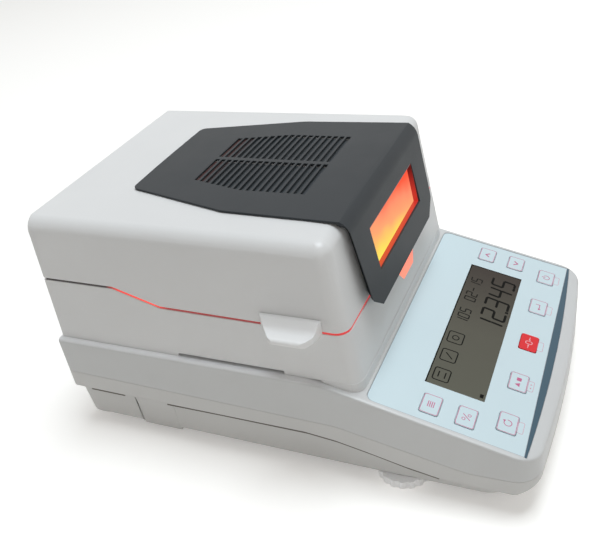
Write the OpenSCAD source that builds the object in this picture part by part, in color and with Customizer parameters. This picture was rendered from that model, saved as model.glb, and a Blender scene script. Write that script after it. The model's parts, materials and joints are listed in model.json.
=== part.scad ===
// Halogen moisture analyzer: a balance under a hinged heating lid, with a sloping control panel in front.
// The origin is at the middle of the footprint, on the table. The front is at -Y and up is +Z.

/* [Case] */
// Width of the case over its rim
case_w = 205; // [195:1:225]
// Length of the case from its bowed front to its back
case_l = 336; // [326:1:350]
// Height of the flat ledge around the heating chamber
deck_z = 78; // [76:0.5:82]
// Slope of the control panel, in degrees
panel_pitch = 14.3; // [12:0.1:15]
// Distance from the front of the case to where the ledge bends down
bend_from_front = 136; // [132:1:142]
// Radius of the bowed front in plan
bow_r = 950; // [700:10:1500]
// Radius of the front corners in plan
case_corner_r = 15; // [10:1:20]
// Radius of the back corners in plan
case_back_r = 3.5; // [2.5:0.5:12]
// Thickness of the moulded walls
wall = 2.6; // [2:0.1:3.2]
// Height of the underside of the tub
tub_z = 6; // [5:0.5:8]
// Distance of the tub walls inside the rim
tub_inset = 8.5; // [7:0.5:11]

/* [Heating chamber] */
// Width of the ledge beside the chamber housing
housing_margin = 4.3; // [3.5:0.1:8]
// Distance of the front wall of the housing from the front of the case, at the ledge
housing_from_front = 109; // [107:0.5:112]
// Lean of the front wall of the housing and lid, in degrees
front_lean = 7.6; // [5:0.1:10]
// Draft of the side walls, in degrees
side_draft = 1.95; // [1:0.05:3]
// Radius of the upright front corners
housing_corner_r = 9; // [7:0.5:14]
// Height of the joint between housing and lid, at the front
seam_front_z = 113.5; // [111:0.5:118]
// Height of the same joint at the back, where the hinge is
seam_back_z = 125.6; // [122:0.5:128]
// Open joint between the housing and the lid
seam_gap = 1.6; // [0.8:0.1:2]
// Inner radius of the round well below the pan
well_r = 63; // [60:0.5:66]
// Depth of the well below the chamber deck
well_depth = 20; // [17:0.5:21]
// Distance of the pan centre behind the front wall of the housing
pan_from_housing = 81; // [75:1:87]
// Outer radius of the sample pan
pan_r = 48; // [42:0.5:50]

/* [Lid] */
// Height of the crowned top above the joint, at the front
lid_h = 60.1; // [57:0.1:68]
// Fall of the top from front to back, as a slope
crown_fall = 0.003; // [0.001:0.001:0.02]
// Radius of the crown, across the lid
crown_r = 2200; // [1500:50:3000]
// Radius of the rounded edge between top and sides
lid_edge_r = 9; // [6:0.5:12]
// Reach of the side handles beyond the housing
handle_reach = 15.8; // [13:0.1:18]

/* [Dark cover] */
// Thickness of the cover
cover_t = 1.5; // [1.2:0.1:2]
// Width of the white shoulder beside the cover, at its front edge
cover_margin = 28.2; // [22:0.2:34]
// Amount by which the back edge of the cover is narrower, on each side
cover_taper = 22; // [18:1:26]
// Height of the lower edge of the cover, in front of the housing
cover_low_z = 108.6; // [106:0.2:110]
// Lean of the front of the cover, in degrees
cover_lean = 9.7; // [9:0.1:10.5]
// Distance of the lower edge of the cover in front of the housing wall
cover_stand_off = 7.4; // [7:0.1:9]
// Radius of the bend between the top and the front of the cover
cover_edge_r = 12; // [8:0.5:13]
// Width of one vent slot
slot_w = 3.1; // [2:0.1:3.4]
// Spacing of the vent slots
slot_pitch = 4.7; // [4.3:0.1:5]
// Margin between the front vent slots and the side of the cover
slot_margin = 28; // [24:1:36]
// Half width of the bar between the two rows of slots
slot_bar = 2; // [1.5:0.5:4]
// Margin between the window and the side of the cover
window_margin = 25.8; // [22:0.2:32]
// Height of the window's lower edge above the joint
window_rise = 12.7; // [11:0.1:16]
// Distance of the window's upper edge below the crown
window_drop = 18.3; // [17:0.1:22]
// Thickness of the window glass
glass_t = 2; // [1.5:0.1:2.4]

/* [Control panel] */
// Margin between the panel overlay and the side of the case
label_margin = 3.8; // [3.5:0.1:6]
// Length of the panel overlay down the slope
label_l = 96.2; // [94:0.2:98]
// Thickness of the panel overlay
label_t = 0.5; // [0.4:0.05:0.7]
// Depth of the overlay's top face below the rim
label_drop = 0.5; // [0.3:0.1:0.8]
// Margin between the display and the side of the overlay
lcd_margin = 31.3; // [30:0.1:38]
// Distance between the display and the front row of keys
lcd_gap = 10.5; // [8:0.1:12]
// Length of the display down the slope
lcd_l = 37.8; // [34:0.2:39]
// Width of a key
key_w = 16; // [13:0.2:17]
// Length of a key down the slope
key_l = 11.6; // [10:0.2:12]
// Travel of a key
key_travel = 0.5; // [0.3:0.1:0.6]
// Clearance around a key
key_gap = 0.35; // [0.3:0.05:0.5]
// Height of a key above the overlay
key_proud = 0.4; // [0.3:0.05:0.6]

/* [Feet] */
// Radius of a levelling foot
foot_r = 18.2; // [16:0.2:19]
// Distance of the feet from the side of the case
foot_margin = 18.5; // [16.5:0.5:24]
// Distance of the levelling feet behind the front of the case
foot_from_front = 90.5; // [78:0.5:98]
// Radius of the threaded post of a foot
post_r = 4; // [3:0.1:5]
// Running clearance of a post in its insert
post_fit = 0.05; // [0.03:0.01:0.1]
// Distance of the rear feet from the back of the case
foot_from_back = 66; // [58:1:72]

/* [Hinge] */
// Distance of the hinges from the side of the housing
hinge_margin = 36.2; // [30:0.2:48]
// Radius of a hinge knuckle
knuckle_r = 3.4; // [3:0.1:3.5]
// Length of the knuckle on the lid
knuckle_l = 10; // [8:0.5:14]
// Radius of a hinge pin
pin_r = 1.6; // [1.2:0.1:1.8]
// Running clearance of a pin in the lid knuckle
pin_fit = 0.05; // [0.03:0.01:0.1]

/* [Hidden] */

$fn = 48;
eps = 0.01;
over = 1;            // how far a cutting body runs past a face
seat = 0.05;         // clearance between pieces that seat on each other
clear = 0.3;         // clearance between pieces that move past each other
tilt = tan(panel_pitch);
lean = tan(front_lean);
draft = tan(side_draft);
half_w = case_w/2;
front_y = -case_l/2;
back_y = case_l/2;
housing_half_w = half_w - housing_margin;
label_half_w = half_w - label_margin;
lcd_half_w = label_half_w - lcd_margin;
front_row = label_l - 13.4;                      // middle of the front row of keys, down the slope
lcd_from = front_row - key_l/2 - lcd_gap - lcd_l; // back edge of the display
cover_half_w = housing_half_w - cover_margin;
cover_back_half_w = cover_half_w - cover_taper;
window_half_w = cover_half_w - window_margin;
foot_x = half_w - foot_margin;
foot_y = front_y + foot_from_front;
rear_foot_y = back_y - foot_from_back;
hinge_x = housing_half_w - hinge_margin;
bend_y = front_y + bend_from_front;
bend_t = 14;         // half length of the soft bend in the ledge

// Heights along the case, from front to back, tied to the ledge
function deck(y) = y > bend_y + bend_t ? deck_z
    : y < bend_y - bend_t ? deck_z - tilt*(bend_y - y)
    : deck_z - tilt*pow(bend_y + bend_t - y, 2)/(4*bend_t);
part_drop_back = 28.7;
part_drop_bend = 33;
part_knee_y = front_y + 46;
part_knee_z = 27.3;
function parting(y) = lookup(y, [[front_y, part_knee_z + 2.2], [front_y + 28, part_knee_z],
    [part_knee_y, part_knee_z], [bend_y - 8, deck_z - part_drop_bend],
    [back_y, deck_z - part_drop_back]]);
skirt_band = 12;     // height of the band below the parting line, along the sides
skirt_knee = 12.1;
function skirt(y) = lookup(y, [[front_y, parting(front_y) - 5], [front_y + 18, part_knee_z - skirt_knee],
    [part_knee_y + 8, part_knee_z - skirt_knee + 0.5], [part_knee_y + 18, parting(part_knee_y + 18) - 10.5],
    [bend_y - 8, parting(bend_y - 8) - skirt_band], [back_y, parting(back_y) - skirt_band]]);
function seam(y) = lookup(y, [[housing_y, seam_front_z], [seam_low_y, seam_front_z + 1.7],
    [seam_high_y, seam_back_z], [back_y, seam_back_z]]);

// Frame of the control panel: origin at the middle of the overlay's back edge, on its top face
label_y = front_y + label_l + 10.5;
label_z = deck(label_y) - label_drop;
floor_n = -label_t - seat;                        // the recess floor, along the panel's normal
under_n = label_drop*cos(panel_pitch) - wall*cos(panel_pitch);  // the underside of the panel
recess_l = label_l + 5;                           // to the bowed front edge of the recess
recess_r = 1300;

// Chamber housing and lid walls: positions at any height
housing_y = front_y + housing_from_front;
pan_y = housing_y + pan_from_housing;
housing_back_y = back_y - 2.7;
function wall_x(z) = housing_half_w - draft*(z - deck_z);
function wall_front(z) = housing_y + lean*(z - deck_z);
back_draft = 0.0165;
function wall_back(z) = housing_back_y - back_draft*(z - deck_z);
crown_z = seam_front_z + lid_h;
seam_high_y = back_y - 60.5;
seam_low_y = seam_high_y - 34.3;
chamber_z = seam_front_z - 6.5;                   // deck around the well
well_z = chamber_z - well_depth;                  // floor of the well
function crown(x, y) = crown_z - crown_fall*(y - wall_front(crown_z)) - x*x/(2*crown_r);
window_low_z = seam_front_z + window_rise;
window_high_z = crown_z - window_drop;

// Hinge
hinge_y = wall_back(seam_back_z) + 0.1;
hinge_z = seam_back_z + seam_gap/2;
leaf_l = 8;                                        // length of each knuckle on the housing

// Rounded ring in plan, clockwise from the back right corner, with stations along its sides
ledge_y = bend_y + 22;
stations = [back_y - 28, seam_high_y, (seam_high_y + seam_low_y)/2, seam_low_y,
    (2*seam_low_y + ledge_y)/3, (seam_low_y + 2*ledge_y)/3, ledge_y, bend_y + bend_t, bend_y + bend_t/2,
    bend_y, bend_y - bend_t/2, bend_y - bend_t, bend_y - 30, bend_y - 53, part_knee_y + 18,
    part_knee_y + 8, part_knee_y - 2];
function arc(x, y, r, a, b, n) = [for (k = [0:n]) [x + r*cos(a + (b - a)*k/n), y + r*sin(a + (b - a)*k/n)]];
function mirrored(h) = concat(h, [for (i = [len(h) - 1:-1:0]) [-h[i][0], h[i][1]]]);
// A ring with a bowed front: half width, front, back, front corner, back corner and bow radii
function bowed(h, y0, y1, rf, rb, bow) =
    let (cx = h - rf, by = y0 + bow, cy = by - sqrt(pow(bow - rf, 2) - cx*cx), a = atan2(cy - by, cx))
    mirrored(concat(arc(h - rb, y1 - rb, rb, 90, 0, 6), spread(h, cy, y1 - rb), arc(cx, cy, rf, 0, a, 8),
        [for (k = [1:5]) let (t = a + (-90 - a)*k/5.5) [bow*cos(t), by + bow*sin(t)]]));
function plain(h, y0, y1, rf, rb) =
    mirrored(concat(arc(h - rb, y1 - rb, rb, 90, 0, 6), spread(h, y0 + rf, y1 - rb),
        arc(h - rf, y0 + rf, rf, 0, -90, 8)));
// Side stations squeezed between the two corners, so that every ring has as many points
function spread(h, a, b) = [for (i = [0:len(stations) - 1])
    [h, max(a + (len(stations) - i)*eps, min(b - (i + 1)*eps, stations[i]))]];
function at(ring, z) = [for (p = ring) [p[0], p[1], z]];

// Solid skinned over a stack of rings from the lowest to the highest
module loft(rings) {
    n = len(rings[0]);
    m = len(rings);
    polyhedron(points = [for (r = rings) each r],
        faces = concat(
            [for (i = [0:n/2 - 2]) each [[n - 1 - i, n - 2 - i, i + 1], [n - 1 - i, i + 1, i]]],
            [for (k = [0:m - 2]) for (i = [0:n - 1]) let (j = (i + 1)%n)
                each [[k*n + i, k*n + j, k*n + n + j], [k*n + i, k*n + n + j, k*n + n + i]]],
            [for (i = [0:n/2 - 2]) let (o = (m - 1)*n)
                each [[o + i, o + i + 1, o + n - 2 - i], [o + i, o + n - 2 - i, o + n - 1 - i]]]));
}

// Profile of a closed outline whose corners are rounded: each corner is [x, y, radius]
function unit(v) = v/norm(v);
function rounded(c, n = 6) = [for (i = [0:len(c) - 1])
    let (p = [c[i][0], c[i][1]], r = c[i][2],
        q = c[(i + len(c) - 1)%len(c)], s = c[(i + 1)%len(c)],
        u = unit([q[0], q[1]] - p), v = unit([s[0], s[1]] - p), half = acos(u*v)/2)
    each r == 0 ? [p] : let (o = p + unit(u + v)*r/sin(half), a = p + u*r/tan(half) - o,
        b = p + v*r/tan(half) - o, a0 = atan2(a[1], a[0]), turn = atan2(b[1], b[0]) - a0,
        sweep = turn > 180 ? turn - 360 : turn < -180 ? turn + 360 : turn)
        [for (k = [0:n]) o + r*[cos(a0 + sweep*k/n), sin(a0 + sweep*k/n)]]];

// A side profile in (y, z), drawn across the case
module across(width, profile) {
    rotate([90, 0, 90]) translate([0, 0, -width/2]) linear_extrude(width) polygon(profile);
}
// A block from its two corners
module block(a, b) { translate(a) cube(b - a); }
module tube(r_out, r_in, h) {
    difference() { cylinder(r = r_out, h = h); translate([0, 0, -over]) cylinder(r = r_in, h = h + 2*over); }
}
module both_sides() { children(); mirror([1, 0, 0]) children(); }
module on_panel() { translate([0, label_y, label_z]) rotate([panel_pitch, 0, 0]) children(); }
// The leaning front wall of the lid: local y runs up the wall, local z points out of it
module on_front() {
    translate([0, housing_y, deck_z]) rotate([90 - front_lean, 0, 0]) children();
}
function up_front(z) = (z - deck_z)/cos(front_lean);

back_corner_r = 1.5;   // sharpest corner of a moulded wall

// Case
function case_ring(inset) = bowed(half_w - inset, front_y + inset, back_y - inset,
    max(case_corner_r - inset, 2), max(case_back_r - inset, back_corner_r), bow_r);
function tub_ring(inset, nose) = bowed(half_w - inset, front_y + nose, back_y - inset + 2,
    case_corner_r, 12, bow_r);
function by_deck(ring, d) = [for (p = ring) [p[0], p[1], deck(p[1]) - d]];
function by_parting(ring, d) = [for (p = ring) [p[0], p[1], parting(p[1]) + d]];
function by_skirt(ring, d) = [for (p = ring) [p[0], p[1], skirt(p[1]) + d]];

boss_r = 4.5;
screw_back_x = half_w - tub_inset - wall - boss_r - 1.5;
screw_back_y = back_y - 30;
screw_front_x = half_w - 40.5;
screw_front_y = front_y + 30;
screw_spots = [for (s = [-1, 1]) for (p = [[screw_back_x, screw_back_y], [screw_front_x, screw_front_y]])
    [s*p[0], p[1]]];
boss_z = 26;         // where the posts of the two cases meet
screw_r = 1.5;
screw_head_r = 3;
foot_boss_r = 9;
foot_boss_z = 1.2;    // gap under the boss of a rear foot
insert_r = 6;
insert_h = 14;
foot_top_z = tub_z - clear;
post_top_z = parting(screw_back_y) + 15;
rib_t = 3;

module bottom_case() color([0.78, 0.78, 0.78]) difference() {
    union() {
        difference() {
            union() {
                loft([at(tub_ring(tub_inset + 4, 24), tub_z), at(tub_ring(tub_inset + 1.2, 20), tub_z + 1),
                    at(tub_ring(tub_inset, 18), tub_z + 3.5), by_skirt(tub_ring(tub_inset, 17), 0),
                    by_skirt(case_ring(1.5), 0.2), by_skirt(case_ring(0), 1.8),
                    by_parting(case_ring(0), -seat)]);
                both_sides() translate([0, 0, foot_boss_z]) linear_extrude(skirt(rear_foot_y) - foot_boss_z/2)
                    polygon(rounded([[foot_x - 16, rear_foot_y - 17, 5], [foot_x - 16, rear_foot_y + 15, 5],
                        [half_w - 3.5, rear_foot_y + 15, 4], [half_w - 3.5, rear_foot_y - 17, 4]]));
            }
            loft([at(tub_ring(tub_inset + wall + 1, 20 + wall), tub_z + wall),
                by_skirt(tub_ring(tub_inset + wall, 18 + wall), wall),
                by_skirt(case_ring(wall), wall + eps), by_parting(case_ring(wall), over)]);
        }
        for (s = [-1, 1]) intersection() {
            translate([s*foot_x, foot_y, tub_z]) cylinder(r = foot_boss_r, h = insert_h);
            block([-half_w + tub_inset, front_y, 0], [half_w - tub_inset, back_y, deck_z]);
        }
        for (p = screw_spots) translate([p[0], p[1], tub_z + over])
            cylinder(r = boss_r, h = boss_z - tub_z - over);
    }
    for (s = [-1, 1]) translate([s*foot_x, foot_y, tub_z - over])
        cylinder(r = insert_r, h = insert_h + 2*over);
    for (p = screw_spots) translate([p[0], p[1], -over]) {
        cylinder(r = screw_r + 0.2, h = boss_z + 2*over);
        cylinder(r = screw_head_r + 0.3, h = tub_z + 6 + over);
    }
    for (s = [-1, 1]) translate([s*foot_x, rear_foot_y, 0]) cylinder(r = rear_pad_r, h = rear_pad_h);
}
rear_pad_r = 11;
rear_pad_h = 4;
sole_h = 0.8;         // hollow under a foot
flutes = 18;
flute_r = 2.4;

module rear_feet() color([0.16, 0.16, 0.17]) for (s = [-1, 1]) translate([s*foot_x, rear_foot_y, 0])
    difference() {
        cylinder(r = rear_pad_r, h = rear_pad_h);
        translate([0, 0, -over]) cylinder(r = rear_pad_r - 4, h = over + sole_h);
    }

module foot_inserts() color([0.72, 0.58, 0.3])
    for (s = [-1, 1]) translate([s*foot_x, foot_y, tub_z]) tube(insert_r, post_r + post_fit, insert_h);

module level_foot(s) color([0.86, 0.88, 0.88]) translate([s*foot_x, foot_y, 0]) {
    difference() {
        cylinder(r = foot_r, h = foot_top_z);
        for (k = [0:flutes - 1]) rotate(k*360/flutes) translate([foot_r + 1.6, 0, -over])
            cylinder(r = flute_r, h = foot_top_z + 2*over, $fn = 24);
        translate([0, 0, -over]) cylinder(r = foot_r - 5, h = over + sole_h);
    }
    translate([0, 0, foot_top_z - eps]) cylinder(r = post_r, h = insert_h + 3);
}

// Openings in the back wall
port_z = (parting(back_y) + deck_z)/2;
inlet_x = -54;
inlet_w = 28;
inlet_h = 20.5;
rocker_x = -22;
rocker_w = 20;
rocker_h = 13.5;
serial_x = 46;
serial_w = 19;
serial_h = 11;
module port_hole(x, w, h) {
    block([x - w/2, back_y - wall - over, port_z - h/2], [x + w/2, back_y + over, port_z + h/2]);
}

// Control panel
side_key_x = label_half_w - 14;
back_key_s = lcd_from + 8.6;
mid_key_s = back_key_s + 21.9;
keys = [["key_menu", -side_key_x, back_key_s, "white"], ["key_unit", -side_key_x, mid_key_s, "white"],
    ["key_up", side_key_x, back_key_s, "white"], ["key_down", side_key_x, mid_key_s, "white"],
    ["key_reset", -0.787*label_half_w, front_row, "white"],
    ["key_start", -0.41*label_half_w, front_row, "white"],
    ["key_tare", -0.003*label_half_w, front_row, "red"],
    ["key_enter", 0.413*label_half_w, front_row, "white"],
    ["key_power", 0.795*label_half_w, front_row, "white"]];
module key_outline(grow) {
    polygon(rounded([for (c = [[-1, -1], [1, -1], [1, 1], [-1, 1]])
        [c[0]*(key_w/2 + grow), c[1]*(key_l/2 + grow), key_corner_r]], 4));
}
module key_hole(n0, n1, grow) {
    for (k = keys) translate([k[1], -k[2], n0]) linear_extrude(n1 - n0) key_outline(grow);
}
key_corner_r = 1.6;
key_flange_n = under_n - clear;
key_flange_t = 1;
key_flange = 1.2;
module key(i) color(keys[i][3] == "red" ? [0.84, 0.1, 0.14] : [0.85, 0.9, 0.92]) on_panel()
    translate([keys[i][1], -keys[i][2], 0]) {
        translate([0, 0, key_flange_n - eps]) linear_extrude(key_proud - key_flange_n) key_outline(0);
        translate([0, 0, key_flange_n - key_flange_t]) linear_extrude(key_flange_t) key_outline(key_flange);
    }

// Outline of the recess, whose front edge is bowed, from the overlay's back edge down the slope
function bow_v(u, grow) = recess_r - recess_l - grow - sqrt(recess_r*recess_r - u*u);
function bow_line(w, grow) = [for (k = [-8:8]) [k*w/8, bow_v(k*w/8, grow)]];
module recess_outline(grow) {
    w = label_half_w + grow;
    polygon(concat(arc(w - label_r, grow - label_r, label_r, 0, 90, 5),
        arc(label_r - w, grow - label_r, label_r, 90, 180, 5), bow_line(w, grow)));
}
// The overlay ends in a straight edge, and the stripe fills the crescent left in front of it
module label_outline() {
    w = label_half_w;
    polygon(concat(arc(w - label_r, -label_r, label_r, 0, 90, 5),
        arc(label_r - w, -label_r, label_r, 90, 180, 5), [[-w, -label_l], [w, -label_l]]));
}
module lcd_outline(grow) {
    translate([-lcd_half_w - grow, -lcd_from - lcd_l - grow]) square([2*(lcd_half_w + grow), lcd_l + 2*grow]);
}
label_r = 5;           // radius of the back corners of the recess
opening_half_w = housing_half_w - 2*wall;
opening_front_y = housing_y + 2*wall;
opening_back_y = housing_back_y - 2*wall;

module top_case() color([0.82, 0.83, 0.83]) difference() {
    union() {
        difference() {
            loft([by_parting(case_ring(0), 0), by_deck(case_ring(0), 2.4), by_deck(case_ring(0.7), 0.7),
                by_deck(case_ring(2.4), 0)]);
            loft([by_parting(case_ring(wall), -over), by_deck(case_ring(wall), wall)]);
            block([-opening_half_w, opening_front_y, deck_z - wall - over],
                [opening_half_w, opening_back_y, deck_z + over]);
        }
        for (p = screw_spots) translate([p[0], p[1], boss_z + seat])
            cylinder(r = boss_r, h = (p[1] > 0 ? post_top_z : deck(p[1]) - wall + 0.5) - boss_z);
        both_sides() block([screw_back_x + 1, screw_back_y - rib_t/2, post_top_z - 12],
            [half_w - wall + 0.5, screw_back_y + rib_t/2, post_top_z]);
        for (s = [-1, 1]) for (k = [-1, 1]) on_panel()
            translate([s*(lcd_half_w + lcd_post), -lcd_from - lcd_l/2 + k*lcd_post_s, lcd_pcb_n + seat])
                cylinder(r = 2, h = under_n - lcd_pcb_n + 0.2);
    }
    on_panel() {
        translate([0, 0, floor_n]) linear_extrude(5) recess_outline(0.2);
        translate([0, 0, under_n - over]) linear_extrude(5) lcd_outline(-1.5);
        key_hole(under_n - over, 2, key_gap);
    }
    for (p = screw_spots) translate([p[0], p[1], boss_z - over]) cylinder(r = screw_r, h = 14);
    port_hole(inlet_x, inlet_w, inlet_h);
    port_hole(rocker_x, rocker_w, rocker_h);
    port_hole(serial_x, serial_w, serial_h);
}
lcd_post = 6;
lcd_post_s = lcd_l/2 - 6.9;
lcd_pcb_n = under_n - 6.5;
lcd_edge = 3;          // board beyond the middle of its posts
lcd_cell_t = 4;
board_t = 1.6;         // thickness of every circuit board

module keypad_overlay() color([0.78, 0.87, 0.9]) on_panel() translate([0, 0, -label_t]) difference() {
    linear_extrude(label_t) difference() {
        label_outline();
        lcd_outline(seat);
    }
    translate([0, 0, label_t]) key_hole(-label_t - over, over, key_gap);
}
module front_stripe() color([0.3, 0.4, 0.46]) on_panel() translate([0, 0, -label_t]) linear_extrude(label_t)
    polygon(concat([[label_half_w, -label_l - seat], [-label_half_w, -label_l - seat]],
        bow_line(label_half_w, 0)));
module display_window() color([0.36, 0.37, 0.35]) on_panel() translate([0, 0, -label_t])
    linear_extrude(label_t) lcd_outline(0);
module display_module() color([0.2, 0.42, 0.26]) on_panel() {
    translate([0, 0, under_n - lcd_cell_t]) linear_extrude(lcd_cell_t - clear) lcd_outline(-lcd_cell_t);
    difference() {
        translate([-lcd_half_w - lcd_post - lcd_edge, -lcd_from - lcd_l/2 - lcd_post_s - lcd_edge,
                lcd_pcb_n - board_t])
            cube([2*(lcd_half_w + lcd_post + lcd_edge), 2*(lcd_post_s + lcd_edge), board_t]);
        for (s = [-1, 1]) for (k = [-1, 1])
            translate([s*(lcd_half_w + lcd_post), -lcd_from - lcd_l/2 + k*lcd_post_s,
                    lcd_pcb_n - board_t - over])
                cylinder(r = 1.1, h = board_t + 2*over);
    }
    translate([0, 0, lcd_pcb_n]) linear_extrude(under_n - lcd_cell_t - lcd_pcb_n)
        lcd_outline(-lcd_cell_t - 2);
}

// Keypad board: a comb of board under the keys, each key over its own switch
switch_n = key_flange_n - key_flange_t - key_travel - clear;
switch_h = 2.2;
switch_w = 6;
board_n = switch_n - switch_h;
comb_w = 10;           // width of the strips of the keypad board
comb_half_l = label_half_w - 6.7;
comb_s = back_key_s - 4.3;  // where its side strips start, down the slope
peg_r = 1.8;
module keypad_board() color([0.12, 0.4, 0.24]) difference() {
    keypad_blank();
    for (p = screw_spots) translate([p[0], p[1], 0]) cylinder(r = boss_r + clear, h = deck_z);
}
module keypad_blank() on_panel() {
    translate([-comb_half_l, -front_row - comb_w/2, board_n - board_t])
        cube([2*comb_half_l, comb_w, board_t]);
    for (s = [-1, 1]) translate([s*side_key_x - comb_w/2, -front_row, board_n - board_t])
        cube([comb_w, front_row - comb_s, board_t]);
    for (k = keys) translate([k[1], -k[2], board_n - eps]) {
        translate([-switch_w/2, -switch_w/2, 0]) cube([switch_w, switch_w, switch_h - 0.6]);
        cylinder(r = 1.7, h = switch_h + eps);
    }
    for (s = [-1, 1]) for (p = [[(keys[7][1] + keys[8][1])/2, front_row],
            [side_key_x, (back_key_s + mid_key_s)/2]])
        translate([s*p[0], -p[1], board_n - eps]) cylinder(r = peg_r, h = under_n - board_n + eps - seat);
}

// Boards on the floor of the tub
floor_z = tub_z + wall;
spacer_h = 7;
cell_z = 34;
cell_h = 24;
cell_w = 26;
bracket_wing = 4;      // the bracket beyond the load cell, on each side
main_board_box = [[-half_w + 50.5, front_y + 26], [half_w - 50.5, front_y + 96]];
power_board_box = [[-half_w + 20.5, back_y - 124], [-cell_w/2 - bracket_wing - 5, back_y - 36]];
function corners(b, d) = [for (x = [b[0][0] + d, b[1][0] - d]) for (y = [b[0][1] + d, b[1][1] - d]) [x, y]];
board_top_z = floor_z + spacer_h + board_t;
main_board_w = main_board_box[1][0] - main_board_box[0][0];
chip_w = 14;
header_l = 30;
header_w = 6;
module bare_board(b) block([b[0][0], b[0][1], floor_z + spacer_h], [b[1][0], b[1][1], board_top_z]);
module main_board() color([0.1, 0.38, 0.22]) {
    bare_board(main_board_box);
    translate([main_board_box[0][0], main_board_box[0][1], board_top_z - eps]) {
        translate([main_board_w/2 - 20, 32, 0]) cube([chip_w, chip_w, 2]);
        translate([main_board_w - 40, 24, 0]) cube([10, 18, 1.6]);
        translate([8, 52, 0]) cube([header_l, header_w, 8]);
        for (d = [12, 24]) translate([main_board_w - d, 46, 0]) cylinder(r = 4, h = 10);
    }
}
module board_spacers() color([0.8, 0.72, 0.45])
    for (p = concat(corners(main_board_box, 5), corners(power_board_box, 5)))
        translate([p[0], p[1], floor_z]) cylinder(r = 3, h = spacer_h, $fn = 6);
module power_board() color([0.12, 0.36, 0.2]) {
    bare_board(power_board_box);
    translate([power_board_box[0][0], power_board_box[0][1], board_top_z - eps]) {
        translate([6, 64, 0]) cube([26, 16, 15]);
        translate([trafo_w + 6, 70, 0]) cylinder(r = can_r, h = 22);
        translate([8, 6, 0]) cube([3, header_l, 24]);
        translate([trafo_w, 8, 0]) cube([16, chip_w, 12]);
    }
}
can_r = 8;
trafo_w = power_board_box[1][0] - power_board_box[0][0] - 22;
trafo_l = 30;
flange_h = 6;
coil_h = 20;
module transformer() color([0.5, 0.42, 0.3])
    translate([power_board_box[0][0] + 14, power_board_box[0][1] + trafo_l, board_top_z]) {
        cube([trafo_w, trafo_l, flange_h]);
        translate([4, -2, flange_h - eps]) cube([trafo_w - 8, trafo_l + 4, coil_h]);
        translate([0, 0, flange_h + coil_h - 2*eps]) cube([trafo_w, trafo_l, flange_h]);
    }

// Mains inlet, power switch and serial port in the back wall
inlet_flange = 1.4;
inlet_depth = 24;
socket_depth = 17;
module power_inlet() color([0.12, 0.12, 0.13]) translate([inlet_x, back_y, port_z]) difference() {
    union() {
        translate([-inlet_w/2 + seat, -inlet_depth, -inlet_h/2 + seat])
            cube([inlet_w - 2*seat, inlet_depth, inlet_h - 2*seat]);
        translate([-inlet_w/2 - 1.8, -wall - seat - 1.5, -inlet_h/2 + 2])
            cube([inlet_w + 3.6, 1.5, inlet_h - 4]);
    }
    translate([0, over, 0]) rotate([90, 0, 0]) linear_extrude(socket_depth + over)
        polygon(rounded([[-12, -8, 1.5], [12, -8, 1.5], [12, 3.5, 1], [7.5, 8, 1], [-7.5, 8, 1],
            [-12, 3.5, 1]], 3));
}
module inlet_contacts() color([0.75, 0.75, 0.72])
    for (p = [[-7, -2], [7, -2], [0, 2.5]])
        translate([inlet_x + p[0] - 1, back_y - socket_depth, port_z + p[1] - 2]) cube([2, 11, 4]);
rocker_pivot = 1.6;
rocker_axis_y = back_y - 4.5;
module switch_frame() color([0.13, 0.13, 0.14]) translate([rocker_x, back_y, port_z]) difference() {
    union() {
        translate([-rocker_w/2 + seat, -20, -rocker_h/2 + seat])
            cube([rocker_w - 2*seat, 20, rocker_h - 2*seat]);
        translate([-rocker_w/2 - 1.5, -wall - seat - 1.5, -rocker_h/2 + 2])
            cube([rocker_w + 3, 1.5, rocker_h - 4]);
    }
    translate([-rocker_w/2 + 2, -10.5, -rocker_h/2 + 1.6]) cube([rocker_w - 4, 10.5 + over, rocker_h - 3.2]);
    translate([-rocker_w/2 + 1, -4.5, 0]) rotate([0, 90, 0]) cylinder(r = rocker_pivot, h = rocker_w - 2);
}
rocker_half = rocker_w/2 - 2.3;
module power_rocker() color([0.1, 0.1, 0.1]) translate([rocker_x, rocker_axis_y, port_z]) rotate([-9, 0, 0]) {
    rotate([90, 0, 90]) translate([0, 0, -rocker_half]) linear_extrude(2*rocker_half)
        polygon([[-2.4, -2.6], [2.2, -4.1], [3.6, -3.9], [2.9, 0], [3.6, 3.9], [2.2, 4.1], [-2.4, 2.6]]);
    translate([-rocker_w/2 + 1.2, 0, 0]) rotate([0, 90, 0])
        cylinder(r = rocker_pivot - 0.1, h = rocker_w - 2.4);
}
module serial_port() color([0.6, 0.62, 0.63]) translate([serial_x, back_y, port_z]) {
    difference() {
        translate([-serial_w/2 + seat, -13, -serial_h/2 + seat])
            cube([serial_w - 2*seat, 13, serial_h - 2*seat]);
        translate([-serial_w/2 + 1, -6, -serial_h/2 + 1]) cube([serial_w - 2, 6 + over, serial_h - 2]);
    }
    difference() {
        translate([-15, -wall - seat - 1.2, -6]) cube([30, 1.2, 12]);
        translate([-serial_w/2, -wall - 3, -serial_h/2]) cube([serial_w, 4, serial_h]);
    }
    for (k = [-2:2]) translate([k*2.8, -6 - eps, 1.4]) rotate([-90, 0, 0]) cylinder(r = 0.5, h = 5, $fn = 16);
    for (k = [-1.5:1:1.5]) translate([k*2.8, -6 - eps, -1.4]) rotate([-90, 0, 0])
        cylinder(r = 0.5, h = 5, $fn = 16);
}

// Weighing parts, under the well
cell_y = pan_y - 12;
cell_l = back_y - 40 - cell_y;
bracket_l = 34;
stem_r = 3;
stem_l = 8;            // how deep the stem of the pan support sits in the load cell
flex_y = 16;
flex_r = 9;

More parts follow.
